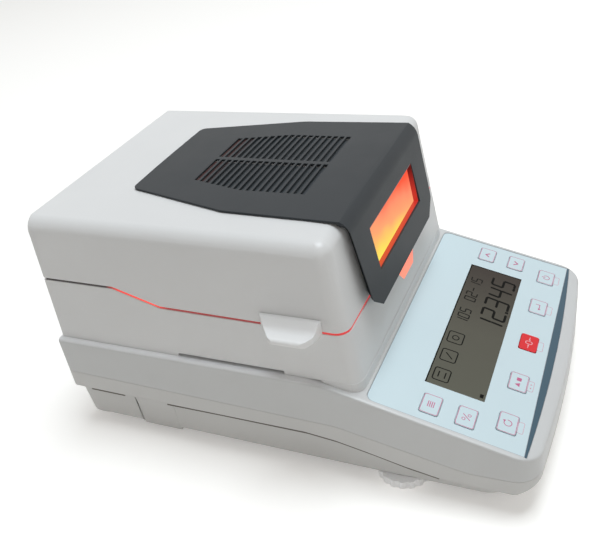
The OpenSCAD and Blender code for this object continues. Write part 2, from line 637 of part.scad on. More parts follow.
module load_cell_bracket() color([0.68, 0.7, 0.72])
    block([-cell_w/2 - bracket_wing, cell_y + cell_l - bracket_l, floor_z],
        [cell_w/2 + bracket_wing, cell_y + cell_l, cell_z]);
module load_cell() color([0.78, 0.79, 0.8]) translate([0, cell_y, cell_z]) difference() {
    translate([-cell_w/2, 0, 0]) cube([cell_w, cell_l, cell_h]);
    for (s = [-1, 1]) translate([-cell_w, cell_l/2 + s*flex_y, cell_h/2]) rotate([0, 90, 0])
        cylinder(r = flex_r, h = 2*cell_w);
    translate([-cell_w, cell_l/2 - flex_y, cell_h/2 - 3]) cube([2*cell_w, 2*flex_y, 6]);
    translate([0, pan_y - cell_y, cell_h - stem_l]) cylinder(r = stem_r, h = stem_l + over);
}
stem_z = cell_z + cell_h - stem_l;
cross_z = well_z + wall + 5;
cross_r = pan_r - 12;
cross_t = 2.5;
pan_z = cross_z + cross_t;
module pan_support() color([0.75, 0.76, 0.77]) translate([0, pan_y, 0]) {
    translate([0, 0, stem_z]) cylinder(r = stem_r, h = cross_z - stem_z + eps);
    translate([0, 0, cross_z]) {
        cylinder(r = 7, h = cross_t);
        for (a = [90, 210, 330]) rotate(a) translate([5, -2, 0.2]) cube([cross_r - 5, 4, cross_t - 0.2]);
    }
}
module sample_pan() color([0.85, 0.86, 0.87]) translate([0, pan_y, pan_z]) rotate_extrude($fn = 96)
    polygon([[0, 0], [pan_r - 3, 0], [pan_r - 1.2, 6], [pan_r, 6], [pan_r, 6.6], [pan_r - 1.8, 6.6],
        [pan_r - 3.6, 0.7], [0, 0.7]]);
shield_r = well_r - 2.5;
module wind_shield() color([0.7, 0.71, 0.72]) translate([0, pan_y, well_z + wall + plate_t])
    tube(shield_r, shield_r - 1.2, well_depth - wall - plate_t - 2, $fn = 96);
plate_t = 1;
stem_hole_r = 9;
vial_r = 5;
vial_rim_r = 6.5;
module well_plate() color([0.74, 0.75, 0.76]) translate([0, pan_y, well_z + wall])
    tube(well_r - 1, stem_hole_r, plate_t, $fn = 96);
level_x = housing_half_w - 16.2;
level_y = housing_y + 34;
module bubble_level() color([0.6, 0.75, 0.4]) translate([level_x, level_y, chamber_z - wall]) {
    cylinder(r = vial_r, h = wall + over);
    translate([0, 0, wall + seat]) cylinder(r = vial_rim_r, h = 2);
}

// Chamber housing, between the ledge of the case and the lid
function wall_ring(z, inset) = wall_ring_cut(z, inset, inset);
function wall_ring_cut(z, inset, back) = plain(wall_x(z) - inset, wall_front(z) + inset,
    wall_back(z) - back, housing_corner_r - min(inset, 5), back_corner_r);
// A ring on the drafted walls, whose height follows the joint between housing and lid
function seam_ring(inset, d) = let (a = wall_ring(seam_front_z, inset)) [for (i = [0:len(a) - 1])
    let (z = seam(a[i][1]) + d, p = wall_ring(z, inset)[i]) [p[0], p[1], z]];
slit_back_y = pan_y + 46;
slit_l = 77;
slit_front_y = slit_back_y - slit_l;
slit_h = 2.5;
deck_t = wall;
rim_t = wall + 1;      // thickness of the rim around the chamber deck
module hinge_web(sign) {
    across(leaf_l, [[hinge_y - 2.2, hinge_z], [hinge_y + knuckle_r, hinge_z],
        [hinge_y - 0.2, hinge_z + sign*9], [hinge_y - 2.2, hinge_z + sign*9]]);
}
module hinge_rod(r, l) { translate([-l/2, hinge_y, hinge_z]) rotate([0, 90, 0]) cylinder(r = r, h = l); }
leaf_x = knuckle_l/2 + clear + leaf_l/2;
module chamber_housing() color([0.76, 0.76, 0.75]) difference() {
    union() {
        difference() {
            loft([at(wall_ring(deck_z, 0), deck_z + seat), seam_ring(0, 0)]);
            loft([at(wall_ring(deck_z, wall), deck_z - over),
                at(wall_ring(chamber_z, wall), chamber_z - deck_t)]);
            loft([at(wall_ring(chamber_z, rim_t), chamber_z), seam_ring(rim_t, over)]);
        }
        translate([0, pan_y, well_z]) cylinder(r = well_r + 2, h = chamber_z - well_z - eps, $fn = 96);
        both_sides() translate([hinge_x, 0, 0]) both_sides() translate([leaf_x, 0, 0]) {
            hinge_rod(knuckle_r, leaf_l);
            hinge_web(-1);
        }
        for (s = [-1, 1]) translate([s*buffer_x, buffer_y, chamber_z - over])
            cylinder(r = buffer_r + over, h = buffer_z - chamber_z + over);
    }
    translate([0, pan_y, well_z + wall])
        cylinder(r = well_r, h = well_depth + seam_back_z - chamber_z, $fn = 96);
    translate([0, pan_y, well_z - over]) cylinder(r = stem_hole_r, h = wall + 2*over);
    translate([level_x, level_y, chamber_z - deck_t - over]) cylinder(r = vial_r, h = deck_t + 2*over);
    block([-half_w, slit_front_y, deck_z - over], [-housing_half_w + 2*wall, slit_back_y, deck_z + slit_h]);
    both_sides() {
        block([housing_half_w - 2*wall, slit_front_y, deck_z - over], [half_w, slit_back_y, deck_z + slit_h]);
        translate([hinge_x, 0, 0]) {
            block([-knuckle_l/2 - clear, hinge_y - knuckle_r - clear, hinge_z - knuckle_r - clear],
                [knuckle_l/2 + clear, back_y + over, hinge_z + knuckle_r]);
            hinge_rod(pin_r, 2*(leaf_x + leaf_l/2) + 2*over);
        }
    }
}
pin_l = 2*(leaf_x + leaf_l/2);
module hinge_pins() color([0.7, 0.71, 0.72])
    for (s = [-1, 1]) translate([s*hinge_x, 0, 0]) hinge_rod(pin_r, pin_l);
buffer_x = housing_half_w - 38.2;
buffer_r = 3;
buffer_y = wall_front(seam_front_z) + rim_t + buffer_r + clear;
buffer_t = 3.4;
buffer_z = seam_front_z + seam_gap - clear - buffer_t;
module lid_buffers() color([0.2, 0.2, 0.2]) for (s = [-1, 1]) translate([s*buffer_x, buffer_y, buffer_z])
    cylinder(r = buffer_r, h = buffer_t);

// Lid
lid_z = crown_z - lid_edge_r;
// A ring round the edge of the lid, at an angle of 0 on the walls to 90 on the crown, sunk by a thickness.
// The edge at the back is crisp.
function edge_ring(a, t) = let (d = t + lid_edge_r*(1 - cos(a)), r = wall_ring_cut(lid_z, d, t))
    [for (i = [0:len(r) - 1]) let (top = crown(r[i][0], r[i][1]) - t,
            p = wall_ring_cut(top - lid_edge_r, d, t)[i])
        [p[0], p[1], top - lid_edge_r*(1 - sin(a))]];
function top_ring(d, sink) = [for (p = plain(wall_x(lid_z) - d, wall_front(lid_z) + d,
    wall_back(lid_z) - d, 4, 4))
    [p[0], p[1], crown(p[0], p[1]) - sink]];
inset_steps = [14, 30, 50, 70, 90];
module lid_outer() {
    loft(concat([seam_ring(0, seam_gap)], [for (a = [0:15:90]) edge_ring(a, 0)],
        [for (d = inset_steps) top_ring(d, 0)]));
}
module lid_inner() {
    loft(concat([seam_ring(wall, seam_gap - over)], [for (a = [0:30:90]) edge_ring(a, wall)],
        [for (d = inset_steps) top_ring(d + wall, wall)]));
}
cover_back_y = back_y - 59.6;
cover_wide_y = housing_y + 90.2;
cover_wide_z = crown_z - 9.6;       // where the front reaches its full width
vent_back_y = cover_back_y - 38.4;
vent_front_y = housing_y + 44.4;
slot_n = floor((vent_back_y - vent_front_y)/slot_pitch + eps);
slot_l = cover_half_w - slot_bar - slot_margin;
module lid_shell() color([0.88, 0.9, 0.91]) difference() {
    union() {
        difference() {
            lid_outer();
            lid_inner();
        }
        both_sides() translate([hinge_x, 0, 0]) {
            hinge_rod(knuckle_r, knuckle_l);
            across(knuckle_l, [[hinge_y - 2.2, hinge_z], [hinge_y + knuckle_r, hinge_z],
                [hinge_y - 0.4, hinge_z + 9], [hinge_y - 2.2, hinge_z + 9]]);
        }
        for (s = [-1, 1]) translate([s*buffer_x, buffer_y, seam_front_z + seam_gap])
            cylinder(r = buffer_r + 2*over, h = 2*buffer_r);
    }
    both_sides() translate([hinge_x, 0, 0]) {
        hinge_rod(pin_r + pin_fit, knuckle_l + 2*over);
        both_sides() block([knuckle_l/2, hinge_y - knuckle_r - clear, hinge_z - 2],
            [knuckle_l/2 + leaf_l + 2*clear, back_y + over, hinge_z + knuckle_r + clear]);
    }
    for (s = [-1, 1]) block([s > 0 ? slot_bar : -slot_bar - slot_l, vent_front_y, lid_z - 20],
        [s > 0 ? slot_bar + slot_l : -slot_bar, vent_back_y, crown_z + over]);
    on_front() translate([-window_half_w + 2, up_front(window_low_z) + 2, -wall - over])
        cube([2*window_half_w - 4, up_front(window_high_z) - up_front(window_low_z) - 4, wall + 3*over]);
    both_sides() for (y = handle_screw_y) translate([housing_half_w - 12, y, handle_screw_z])
        rotate([0, 90, 0]) cylinder(r = 1.4, h = 24);
}

// Dark cover over the top and front of the lid
cover_gap = 0.15;
cover_low_y = wall_front(cover_low_z) - cover_stand_off;
cover_front_slope = tan(cover_lean);
function cover_front(z) = cover_low_y + cover_front_slope*(z - cover_low_z);
fall_angle = atan(crown_fall);
// The crown as a true cylinder, lifted by a height over the lid's own top
module crown_body(lift) {
    translate([0, wall_front(crown_z), crown_z + lift - crown_r]) rotate([90 - fall_angle, 0, 0])
        translate([0, 0, -2*case_l]) cylinder(r = crown_r, h = 3*case_l, $fn = 720);
}
// Side profile of the hood, sunk into itself by a thickness
function hood(t) = rounded([[cover_back_y + over, cover_low_z - 60 + t, 0],
    [cover_back_y + over, crown_z + 6 - t, 0],
    [cover_front(crown_z + cover_t) + t, crown_z + cover_gap + cover_t - t, cover_edge_r - t],
    [cover_front(cover_low_z - 60) + t, cover_low_z - 60, 0]]);
module hood_body(t, lift) intersection() {
    across(case_w, hood(t));
    crown_body(lift);
}
// Outline seen from above and outline seen from the front, both drawn in by a thickness
module cover_plan(t) translate([0, 0, -over]) linear_extrude(crown_z + 20) polygon(rounded([
    [cover_back_half_w, cover_back_y, 5], [cover_half_w - 2.5, cover_wide_y, 20],
        [cover_half_w, vent_front_y - 30, 0],
    [cover_half_w, front_y, 0], [-cover_half_w, front_y, 0], [-cover_half_w, vent_front_y - 30, 0],
    [-cover_half_w + 2.5, cover_wide_y, 20], [-cover_back_half_w, cover_back_y, 5]]));
module cover_face(t) translate([0, cover_back_y + 2*over, 0]) rotate([90, 0, 0])
    linear_extrude(case_l) polygon([
    [cover_half_w - t, crown_z + 9], [cover_half_w - t, cover_wide_z],
        [cover_half_w - 3 - t, cover_low_z + 13.4],
    [cover_half_w - 3.8 - t, cover_low_z + 9.9], [cover_half_w - 15.6 - t, cover_low_z + t],
    [-cover_half_w + 15.6 + t, cover_low_z + t], [-cover_half_w + 3.8 + t, cover_low_z + 9.9],
    [-cover_half_w + 3 + t, cover_low_z + 13.4], [-cover_half_w + t, cover_wide_z],
        [-cover_half_w + t, crown_z + 9]]);
module vent_slots() for (i = [0:slot_n - 1]) let (y = vent_front_y + (i + 0.5)*slot_pitch,
        l = slot_l - max(0, (y - cover_wide_y)*(cover_half_w - 2.5 - cover_back_half_w)
            /(cover_back_y - cover_wide_y)))
    for (s = [-1, 1]) translate([s > 0 ? slot_bar : -slot_bar - l, y - slot_w/2, lid_z - 12])
        cube([l, slot_w, 40]);
module window_hole(grow) on_front() translate([-window_half_w - grow, up_front(window_low_z) - grow, -2*wall])
    cube([2*(window_half_w + grow), up_front(window_high_z) - up_front(window_low_z) + 2*grow, 30]);
module lid_cover() color([0.3, 0.32, 0.33]) difference() {
    union() {
        difference() {
            intersection() { hood_body(0, cover_gap + cover_t); cover_plan(0); cover_face(0); }
            difference() {
                intersection() { hood_body(cover_t, cover_gap); cover_face(cover_t); }
                // The frame of the window stays, back to the lid's wall
                window_hole(2);
            }
        }
    }
    lid_keep();
    vent_slots();
    window_hole(0);
    on_front() translate([-window_half_w - 2 - eps, up_front(window_low_z) - 2 - eps, -5])
        cube([2*window_half_w + 4 + 2*eps, up_front(window_high_z) - up_front(window_low_z) + 4 + 2*eps,
            5 + glass_t + 2*seat]);
}
// The room that the lid's own front wall and crown take inside the cover
module lid_keep() intersection() {
    across(case_w, rounded([[cover_back_y + 9, cover_low_z - 70, 0],
        [cover_back_y + 9, crown_z + cover_gap, 0],
        [wall_front(crown_z) - cover_gap, crown_z + cover_gap, lid_edge_r - 2],
        [wall_front(cover_low_z - 70) - cover_gap, cover_low_z - 70, 0]]));
    crown_body(cover_gap);
}
module window_glass() color([0.95, 0.45, 0.2]) on_front()
    translate([-window_half_w - 2 + seat, up_front(window_low_z) - 2 + seat, seat])
        cube([2*window_half_w + 4 - 2*seat,
            up_front(window_high_z) - up_front(window_low_z) + 4 - 2*seat, glass_t]);

// Heater, inside the lid
liner_t = 1;
liner_half_w = housing_half_w - 20.2;
liner_back_y = pan_y + 76;
liner_z = crown_z - 13.6;
liner_low_z = seam_back_z + seam_gap + 1.5;
liner_front_gap = 1.5;
lamp_z = liner_z - 12;
lamp_dy = 26;
lamp_r = 5;
lamp_half_l = liner_half_w - 20;
socket_l = liner_half_w - liner_t - lamp_half_l;
module lid_liner() color([0.72, 0.72, 0.72]) difference() {
    union() {
        liner_solid(0);
        translate([0, 0, liner_low_z]) linear_extrude(liner_t)
            polygon(wall_ring(liner_low_z + liner_t, wall + clear));
    }
    liner_solid(liner_t);
    for (s = [-1, 1]) block([s > 0 ? slot_bar + 2 : -slot_bar - slot_l + 4, vent_front_y + 4, liner_z - 5],
        [s > 0 ? slot_bar + slot_l - 4 : -slot_bar - 2, vent_back_y - 4, liner_z + 5]);
    window_hole(-1);
    translate([0, liner_back_y - 5, sensor_z]) rotate([-90, 0, 0]) cylinder(r = sensor_r, h = 10);
}
module liner_solid(t) across(2*(liner_half_w - t), [[liner_back_y - t, liner_low_z - (t > 0 ? over : 0)],
    [liner_back_y - t, liner_z - t], [wall_front(liner_z) + wall + liner_front_gap + t, liner_z - t],
    [wall_front(liner_low_z) + wall + liner_front_gap + t, liner_low_z - (t > 0 ? over : 0)]]);
reflector_half_l = lamp_half_l - 6;
module reflector() color([0.85, 0.75, 0.5]) difference() {
    block([-reflector_half_l, pan_y - lamp_dy - 17, lamp_z],
        [reflector_half_l, pan_y + lamp_dy + 17, liner_z - liner_t - seat]);
    for (s = [-1, 1]) translate([-case_w/2, pan_y + s*lamp_dy, lamp_z - 6]) rotate([0, 90, 0])
        cylinder(r = 16, h = case_w);
    for (s = [-1, 1]) block([s > 0 ? slot_bar + 6 : -slot_bar - slot_l + 8, pan_y - 8, lamp_z - over],
        [s > 0 ? slot_bar + slot_l - 8 : -slot_bar - 6, pan_y + 8, liner_z]);
}
module halogen_lamps() color([0.95, 0.85, 0.6]) for (s = [-1, 1])
    translate([-lamp_half_l, pan_y + s*lamp_dy, lamp_z]) rotate([0, 90, 0])
        cylinder(r = lamp_r, h = 2*lamp_half_l);
module lamp_sockets() color([0.92, 0.9, 0.86]) both_sides() for (s = [-1, 1])
    translate([lamp_half_l, pan_y + s*lamp_dy, lamp_z]) difference() {
        translate([-6, -7.5, -7.5]) cube([socket_l + 6 - seat, 15, 15]);
        translate([-6 - over, 0, 0]) rotate([0, 90, 0]) cylinder(r = lamp_r, h = 6 + over);
    }
sensor_z = lamp_z - 12;
sensor_r = 2;
module temperature_sensor() color([0.7, 0.7, 0.7]) translate([0, pan_y + 30, sensor_z]) {
    rotate([-90, 0, 0]) cylinder(r = sensor_r, h = liner_back_y - pan_y - 30 + 4);
    translate([0, liner_back_y - pan_y - 30, 0]) rotate([-90, 0, 0]) cylinder(r = 5, h = 6);
}

// Side handles of the lid
handle_y = housing_y + 38.5;
handle_half_l = 19.5;
handle_out = housing_half_w + handle_reach;
handle_z = 114;
handle_t = 4.6;
handle_root_z = 123.5;
handle_screw_y = [handle_y - 8, handle_y + 8];
handle_screw_z = handle_root_z - 3.4;
module handle() {
    root_x = wall_x(handle_z) + clear;
    difference() {
        intersection() {
            translate([0, 0, handle_z]) linear_extrude(handle_root_z - handle_z) polygon(rounded([
                [root_x - 4, handle_y + handle_half_l + 4.5, 0], [root_x, handle_y + handle_half_l + 2, 2],
                [handle_out, handle_y + handle_half_l - 11, 8], [handle_out, handle_y - handle_half_l + 7, 8],
                [handle_out - 7, handle_y - handle_half_l + 3, 4], [root_x, handle_y - handle_half_l + 1, 2],
                [root_x - 4, handle_y - handle_half_l, 0]]));
            rotate([90, 0, 0]) translate([0, 0, -case_l/2]) linear_extrude(case_l) polygon(rounded([
                [wall_x(handle_z) + clear, handle_z, 0],
                    [wall_x(handle_z) + clear, seam_front_z + seam_gap + 1.6, 0],
                [wall_x(seam_front_z + seam_gap + 1.6) + 2*seat, seam_front_z + seam_gap + 1.6, 0],
                [wall_x(handle_root_z) + 2*seat, handle_root_z, 0],
                [root_x + 2.4, handle_root_z, 1.4], [root_x + 7, handle_z + handle_t, 6],
                [handle_out, handle_z + handle_t - 0.6, 2], [handle_out - 0.4, handle_z, 1.8]]));
        }
        for (y = handle_screw_y) translate([housing_half_w - 12, y, handle_screw_z]) rotate([0, 90, 0])
            cylinder(r = 1.2, h = 15.2);
    }
}
module lid_screws() color([0.6, 0.6, 0.6]) both_sides() for (y = handle_screw_y)
    translate([wall_x(handle_screw_z) - wall, y, handle_screw_z]) rotate([0, 90, 0]) {
        translate([0, 0, -1.8]) cylinder(r = 2.6, h = 1.6);
        translate([0, 0, -1]) cylinder(r = 1.2, h = wall + 3.2);
    }
module case_screws() color([0.6, 0.6, 0.6]) for (p = screw_spots) translate([p[0], p[1], 0]) {
    translate([0, 0, tub_z + 6 - 2]) cylinder(r = screw_head_r, h = 2);
    translate([0, 0, tub_z + 6 - eps]) cylinder(r = screw_r, h = 24);
}

bottom_case();
top_case();
chamber_housing();
keypad_overlay();
front_stripe();
display_window();
display_module();
keypad_board();
main_board();
board_spacers();
power_board();
transformer();
power_inlet();
inlet_contacts();
serial_port();
switch_frame();
load_cell_bracket();
load_cell();
pan_support();
sample_pan();
wind_shield();
well_plate();
bubble_level();
foot_inserts();
rear_feet();
case_screws();
hinge_pins();
lid_buffers();
lid_shell();
lid_cover();
window_glass();
lid_liner();
reflector();
halogen_lamps();
lamp_sockets();
temperature_sensor();
color([0.9, 0.91, 0.92]) mirror([1, 0, 0]) handle();  // handle_left
color([0.9, 0.91, 0.92]) handle();  // handle_right
lid_screws();
key(0);  // key_menu
key(1);  // key_unit
key(2);  // key_up
key(3);  // key_down
key(4);  // key_reset
key(5);  // key_start
key(6);  // key_tare
key(7);  // key_enter
key(8);  // key_power
level_foot(-1);  // level_foot_left
level_foot(1);  // level_foot_right
power_rocker();
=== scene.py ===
# %% [markdown]
# # A moisture analyzer, dressed for its portrait
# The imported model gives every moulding, board and screw at its true size. This lesson keeps those
# shapes, gives the large mouldings soft edges and real finishes, and adds what a printed panel, a lit
# window and a display need. The scene is in metres, and the table is at z = 0. Shapes are written in
# millimetres, as on the drawing of such an instrument, and MM turns them into metres.

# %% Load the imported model
import bpy, bmesh, json, math
from mathutils import Matrix, Vector


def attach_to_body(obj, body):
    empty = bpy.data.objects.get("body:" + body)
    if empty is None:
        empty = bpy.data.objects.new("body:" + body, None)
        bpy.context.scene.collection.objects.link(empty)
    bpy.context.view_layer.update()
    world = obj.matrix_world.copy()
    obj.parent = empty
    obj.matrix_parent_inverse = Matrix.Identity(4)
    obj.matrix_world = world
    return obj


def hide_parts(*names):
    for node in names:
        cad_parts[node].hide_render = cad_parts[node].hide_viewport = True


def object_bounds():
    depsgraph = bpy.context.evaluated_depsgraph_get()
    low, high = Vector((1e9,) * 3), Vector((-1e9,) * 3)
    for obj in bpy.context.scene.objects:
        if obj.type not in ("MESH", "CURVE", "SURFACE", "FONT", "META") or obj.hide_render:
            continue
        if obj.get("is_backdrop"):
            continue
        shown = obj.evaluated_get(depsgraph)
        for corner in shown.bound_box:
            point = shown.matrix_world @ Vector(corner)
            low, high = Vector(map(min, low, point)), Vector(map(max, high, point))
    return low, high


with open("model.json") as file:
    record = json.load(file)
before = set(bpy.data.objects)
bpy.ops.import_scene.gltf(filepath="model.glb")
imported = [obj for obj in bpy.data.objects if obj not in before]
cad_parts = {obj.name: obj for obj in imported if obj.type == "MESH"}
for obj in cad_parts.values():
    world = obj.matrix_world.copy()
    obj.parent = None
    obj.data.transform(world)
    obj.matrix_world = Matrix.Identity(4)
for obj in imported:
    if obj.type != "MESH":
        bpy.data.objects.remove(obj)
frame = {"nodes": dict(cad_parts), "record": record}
cad_low, cad_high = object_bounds()
body_of_node = {n: b for b, nodes in frame["record"]["behaviour"]["bodies"].items() for n in nodes}
slot_of_node = {s["node"]: s["material_slot"] for s in frame["record"]["subparts"]}
MM = 0.001
TO_METRES = Matrix.Diagonal((MM, MM, MM, 1))
print("nodes:", len(frame["nodes"]), " box:", [round(v, 4) for v in (cad_high - cad_low)])

# %% [markdown]
# ## The camera
# The photograph was taken from the left front, above the instrument, with the camera tipped a little
# to one side. Where the camera stood was worked out from points on the case, so the view is set once,
# as three directions: forward, right and up.

# %% Camera at the photograph's place
CAMERA_PLACE = (-0.4130, -0.1981, 0.3846)
CAMERA_FORWARD = (0.74436, 0.39403, -0.53915)
CAMERA_ROLL = math.radians(-9.414)
SENSOR_WIDTH, LENS = 36, 45.82

def add_object(name, data):
    made = bpy.data.objects.new(name, data)
    bpy.context.scene.collection.objects.link(made)
    return made

cam = add_object("portrait_camera", bpy.data.cameras.new("portrait_camera"))
bpy.context.scene.camera = cam
forward = Vector(CAMERA_FORWARD).normalized()
level_right = forward.cross(Vector((0, 0, 1))).normalized()
level_up = level_right.cross(forward)
cam_right = level_right * math.cos(CAMERA_ROLL) + level_up * math.sin(CAMERA_ROLL)
cam_up = level_up * math.cos(CAMERA_ROLL) - level_right * math.sin(CAMERA_ROLL)
turn = Matrix((cam_right, cam_up, -forward)).transposed().to_4x4()
cam.matrix_world = Matrix.Translation(CAMERA_PLACE) @ turn
cam.data.sensor_width, cam.data.lens = SENSOR_WIDTH, LENS
cam.data.clip_start, cam.data.clip_end = 0.01, 50
bpy.context.scene.view_settings.view_transform = "Standard"
print("camera looks", [round(v, 3) for v in forward])

# %% [markdown]
# ## Table, backdrop and light
# A product photograph like this one is taken on a white sheet under one large soft lamp. The sheet is
# a plain pale floor. For the eye of the camera it adds a little brightness of its own, so that it
# reads as white, while the light that falls on the object stays moderate and the shadow is kept.

# %% Shader helpers
def new_material(name):
    material = bpy.data.materials.new(name)
    material.use_nodes = True
    return material, material.node_tree, material.node_tree.nodes["Principled BSDF"]

def set_inputs(node, values):
    for socket, value in values.items():
        node.inputs[socket].default_value = value

def calc(tree, operation, first, second):
    """A math node on a socket and a second value, which is a socket or a number."""
    node = tree.nodes.new("ShaderNodeMath")
    node.operation = operation
    tree.links.new(first, node.inputs[0])
    if isinstance(second, (int, float)):
        node.inputs[1].default_value = second
    else:
        tree.links.new(second, node.inputs[1])
    return node.outputs[0]

def between(tree, value, low, high, a=0.0, b=1.0):
    """Maps the range a to b onto low to high."""
    node = tree.nodes.new("ShaderNodeMapRange")
    set_inputs(node, {"From Min": a, "From Max": b, "To Min": low, "To Max": high})
    tree.links.new(value, node.inputs["Value"])
    return node.outputs["Result"]

def seen_directly(tree):
    """1 for camera, mirror and glass rays, 0 for the light that bounces on."""
    path = tree.nodes.new("ShaderNodeLightPath")
    either = calc(tree, "MAXIMUM", path.outputs["Is Camera Ray"], path.outputs["Is Glossy Ray"])
    return calc(tree, "MAXIMUM", either, path.outputs["Is Transmission Ray"])

print("shader helpers: material, inputs, math, range, light path")

# %% Floor
FLOOR_LIFT = 0.29
sheet_mesh = bpy.data.meshes.new("white_table")
bm = bmesh.new()
bmesh.ops.create_grid(bm, x_segments=1, y_segments=1, size=6.0)
bm.to_mesh(sheet_mesh); bm.free()
table = add_object("white_table", sheet_mesh)
paper, tree, bsdf = new_material("white_paper")
set_inputs(bsdf, {"Base Color": (0.92, 0.90, 0.87, 1), "Roughness": 0.9,
                  "Specular IOR Level": 0.0, "Emission Color": (1, 1, 1, 1)})
lift = calc(tree, "MULTIPLY", seen_directly(tree), FLOOR_LIFT)
tree.links.new(lift, bsdf.inputs["Emission Strength"])
sheet_mesh.materials.append(paper)
table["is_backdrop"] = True
print("floor", [round(v, 2) for v in table.dimensions])

# %% World and lamps
SKY_ON_OBJECT, SKY_IN_VIEW = 0.30, 1.0
OBJECT_MIDDLE = (0, 0, 0.1)
world = bpy.data.worlds.new("studio")
bpy.context.scene.world = world
world.use_nodes = True
sky_tree = world.node_tree
sky = sky_tree.nodes["Background"]
sky.inputs["Color"].default_value = (1.0, 0.97, 0.93, 1)
sky_strength = between(sky_tree, seen_directly(sky_tree), SKY_ON_OBJECT, SKY_IN_VIEW)
sky_tree.links.new(sky_strength, sky.inputs["Strength"])

def soft_lamp(name, place, size, power, colour):
    light = bpy.data.lights.new(name, "AREA")
    light.shape, light.size, light.energy, light.color = "SQUARE", size, power, colour
    lamp = add_object(name, light)
    lamp.location = place
    lamp.rotation_mode = "QUATERNION"
    lamp.rotation_quaternion = (Vector(OBJECT_MIDDLE) - Vector(place)).to_track_quat("-Z", "Y")
    print(name, power, "W")

soft_lamp("ceiling_softbox", (0.3, -0.25, 2.8), 1.3, 55, (0.89, 0.955, 1.0))
soft_lamp("front_fill", (-1.3, -1.2, 0.9), 1.0, 2.2, (1.0, 0.95, 0.89))

# %% [markdown]
# ## Finishes
# Moulded plastic is never one flat colour. Its skin has a fine spark-eroded grain, its gloss varies a
# little, and its tint drifts very slightly over the part. It could be one flat colour with a picture
# of grain on it, but a picture needs unwrapping and repeats. One recipe gives all three from noise in
# object coordinates instead, and each finish below sets its own colour and scale.

# %% A recipe for moulded and painted skins
TINT_SCALE, GLOSS_SCALE = 14, 45

def noise(tree, where, scale, detail=2.0):
    node = tree.nodes.new("ShaderNodeTexNoise")
    set_inputs(node, {"Scale": scale, "Detail": detail})
    tree.links.new(where, node.inputs["Vector"])
    return node.outputs["Fac"]

def object_place(tree):
    return tree.nodes.new("ShaderNodeTexCoord").outputs["Object"]

def blend_colours(tree, factor, first, second):
    """Mixes two colours by a factor; the first may be a socket."""
    node = tree.nodes.new("ShaderNodeMix")
    node.data_type = "RGBA"
    tree.links.new(factor, node.inputs["Factor"])
    if isinstance(first, bpy.types.NodeSocket):
        tree.links.new(first, node.inputs["A"])
    else:
        node.inputs["A"].default_value = (*first, 1)
    node.inputs["B"].default_value = (*second, 1)
    return node.outputs["Result"]

def skin(name, colour, rough=0.42, spread=0.05, grain=1500, depth=0.02, tint=0.025, metal=0.0,
         level=0.5):
    """Tint drift, gloss drift (spread) and a fine grain of a depth in millimetres."""
    material, tree, bsdf = new_material(name)
    where = object_place(tree)
    darker = [c * (1 - 2 * tint) for c in colour]
    lighter = [min(1, c * (1 + tint)) for c in colour]
    tone = blend_colours(tree, noise(tree, where, TINT_SCALE, 3), darker, lighter)
    gloss = between(tree, noise(tree, where, GLOSS_SCALE, 3), rough - spread, rough + spread)
    bump = tree.nodes.new("ShaderNodeBump")
    set_inputs(bump, {"Strength": 0.5, "Distance": depth * MM})
    tree.links.new(noise(tree, where, grain, 3), bump.inputs["Height"])
    tree.links.new(tone, bsdf.inputs["Base Color"])
    tree.links.new(gloss, bsdf.inputs["Roughness"])
    tree.links.new(bump.outputs["Normal"], bsdf.inputs["Normal"])
    set_inputs(bsdf, {"Metallic": metal, "Specular IOR Level": level})
    return material

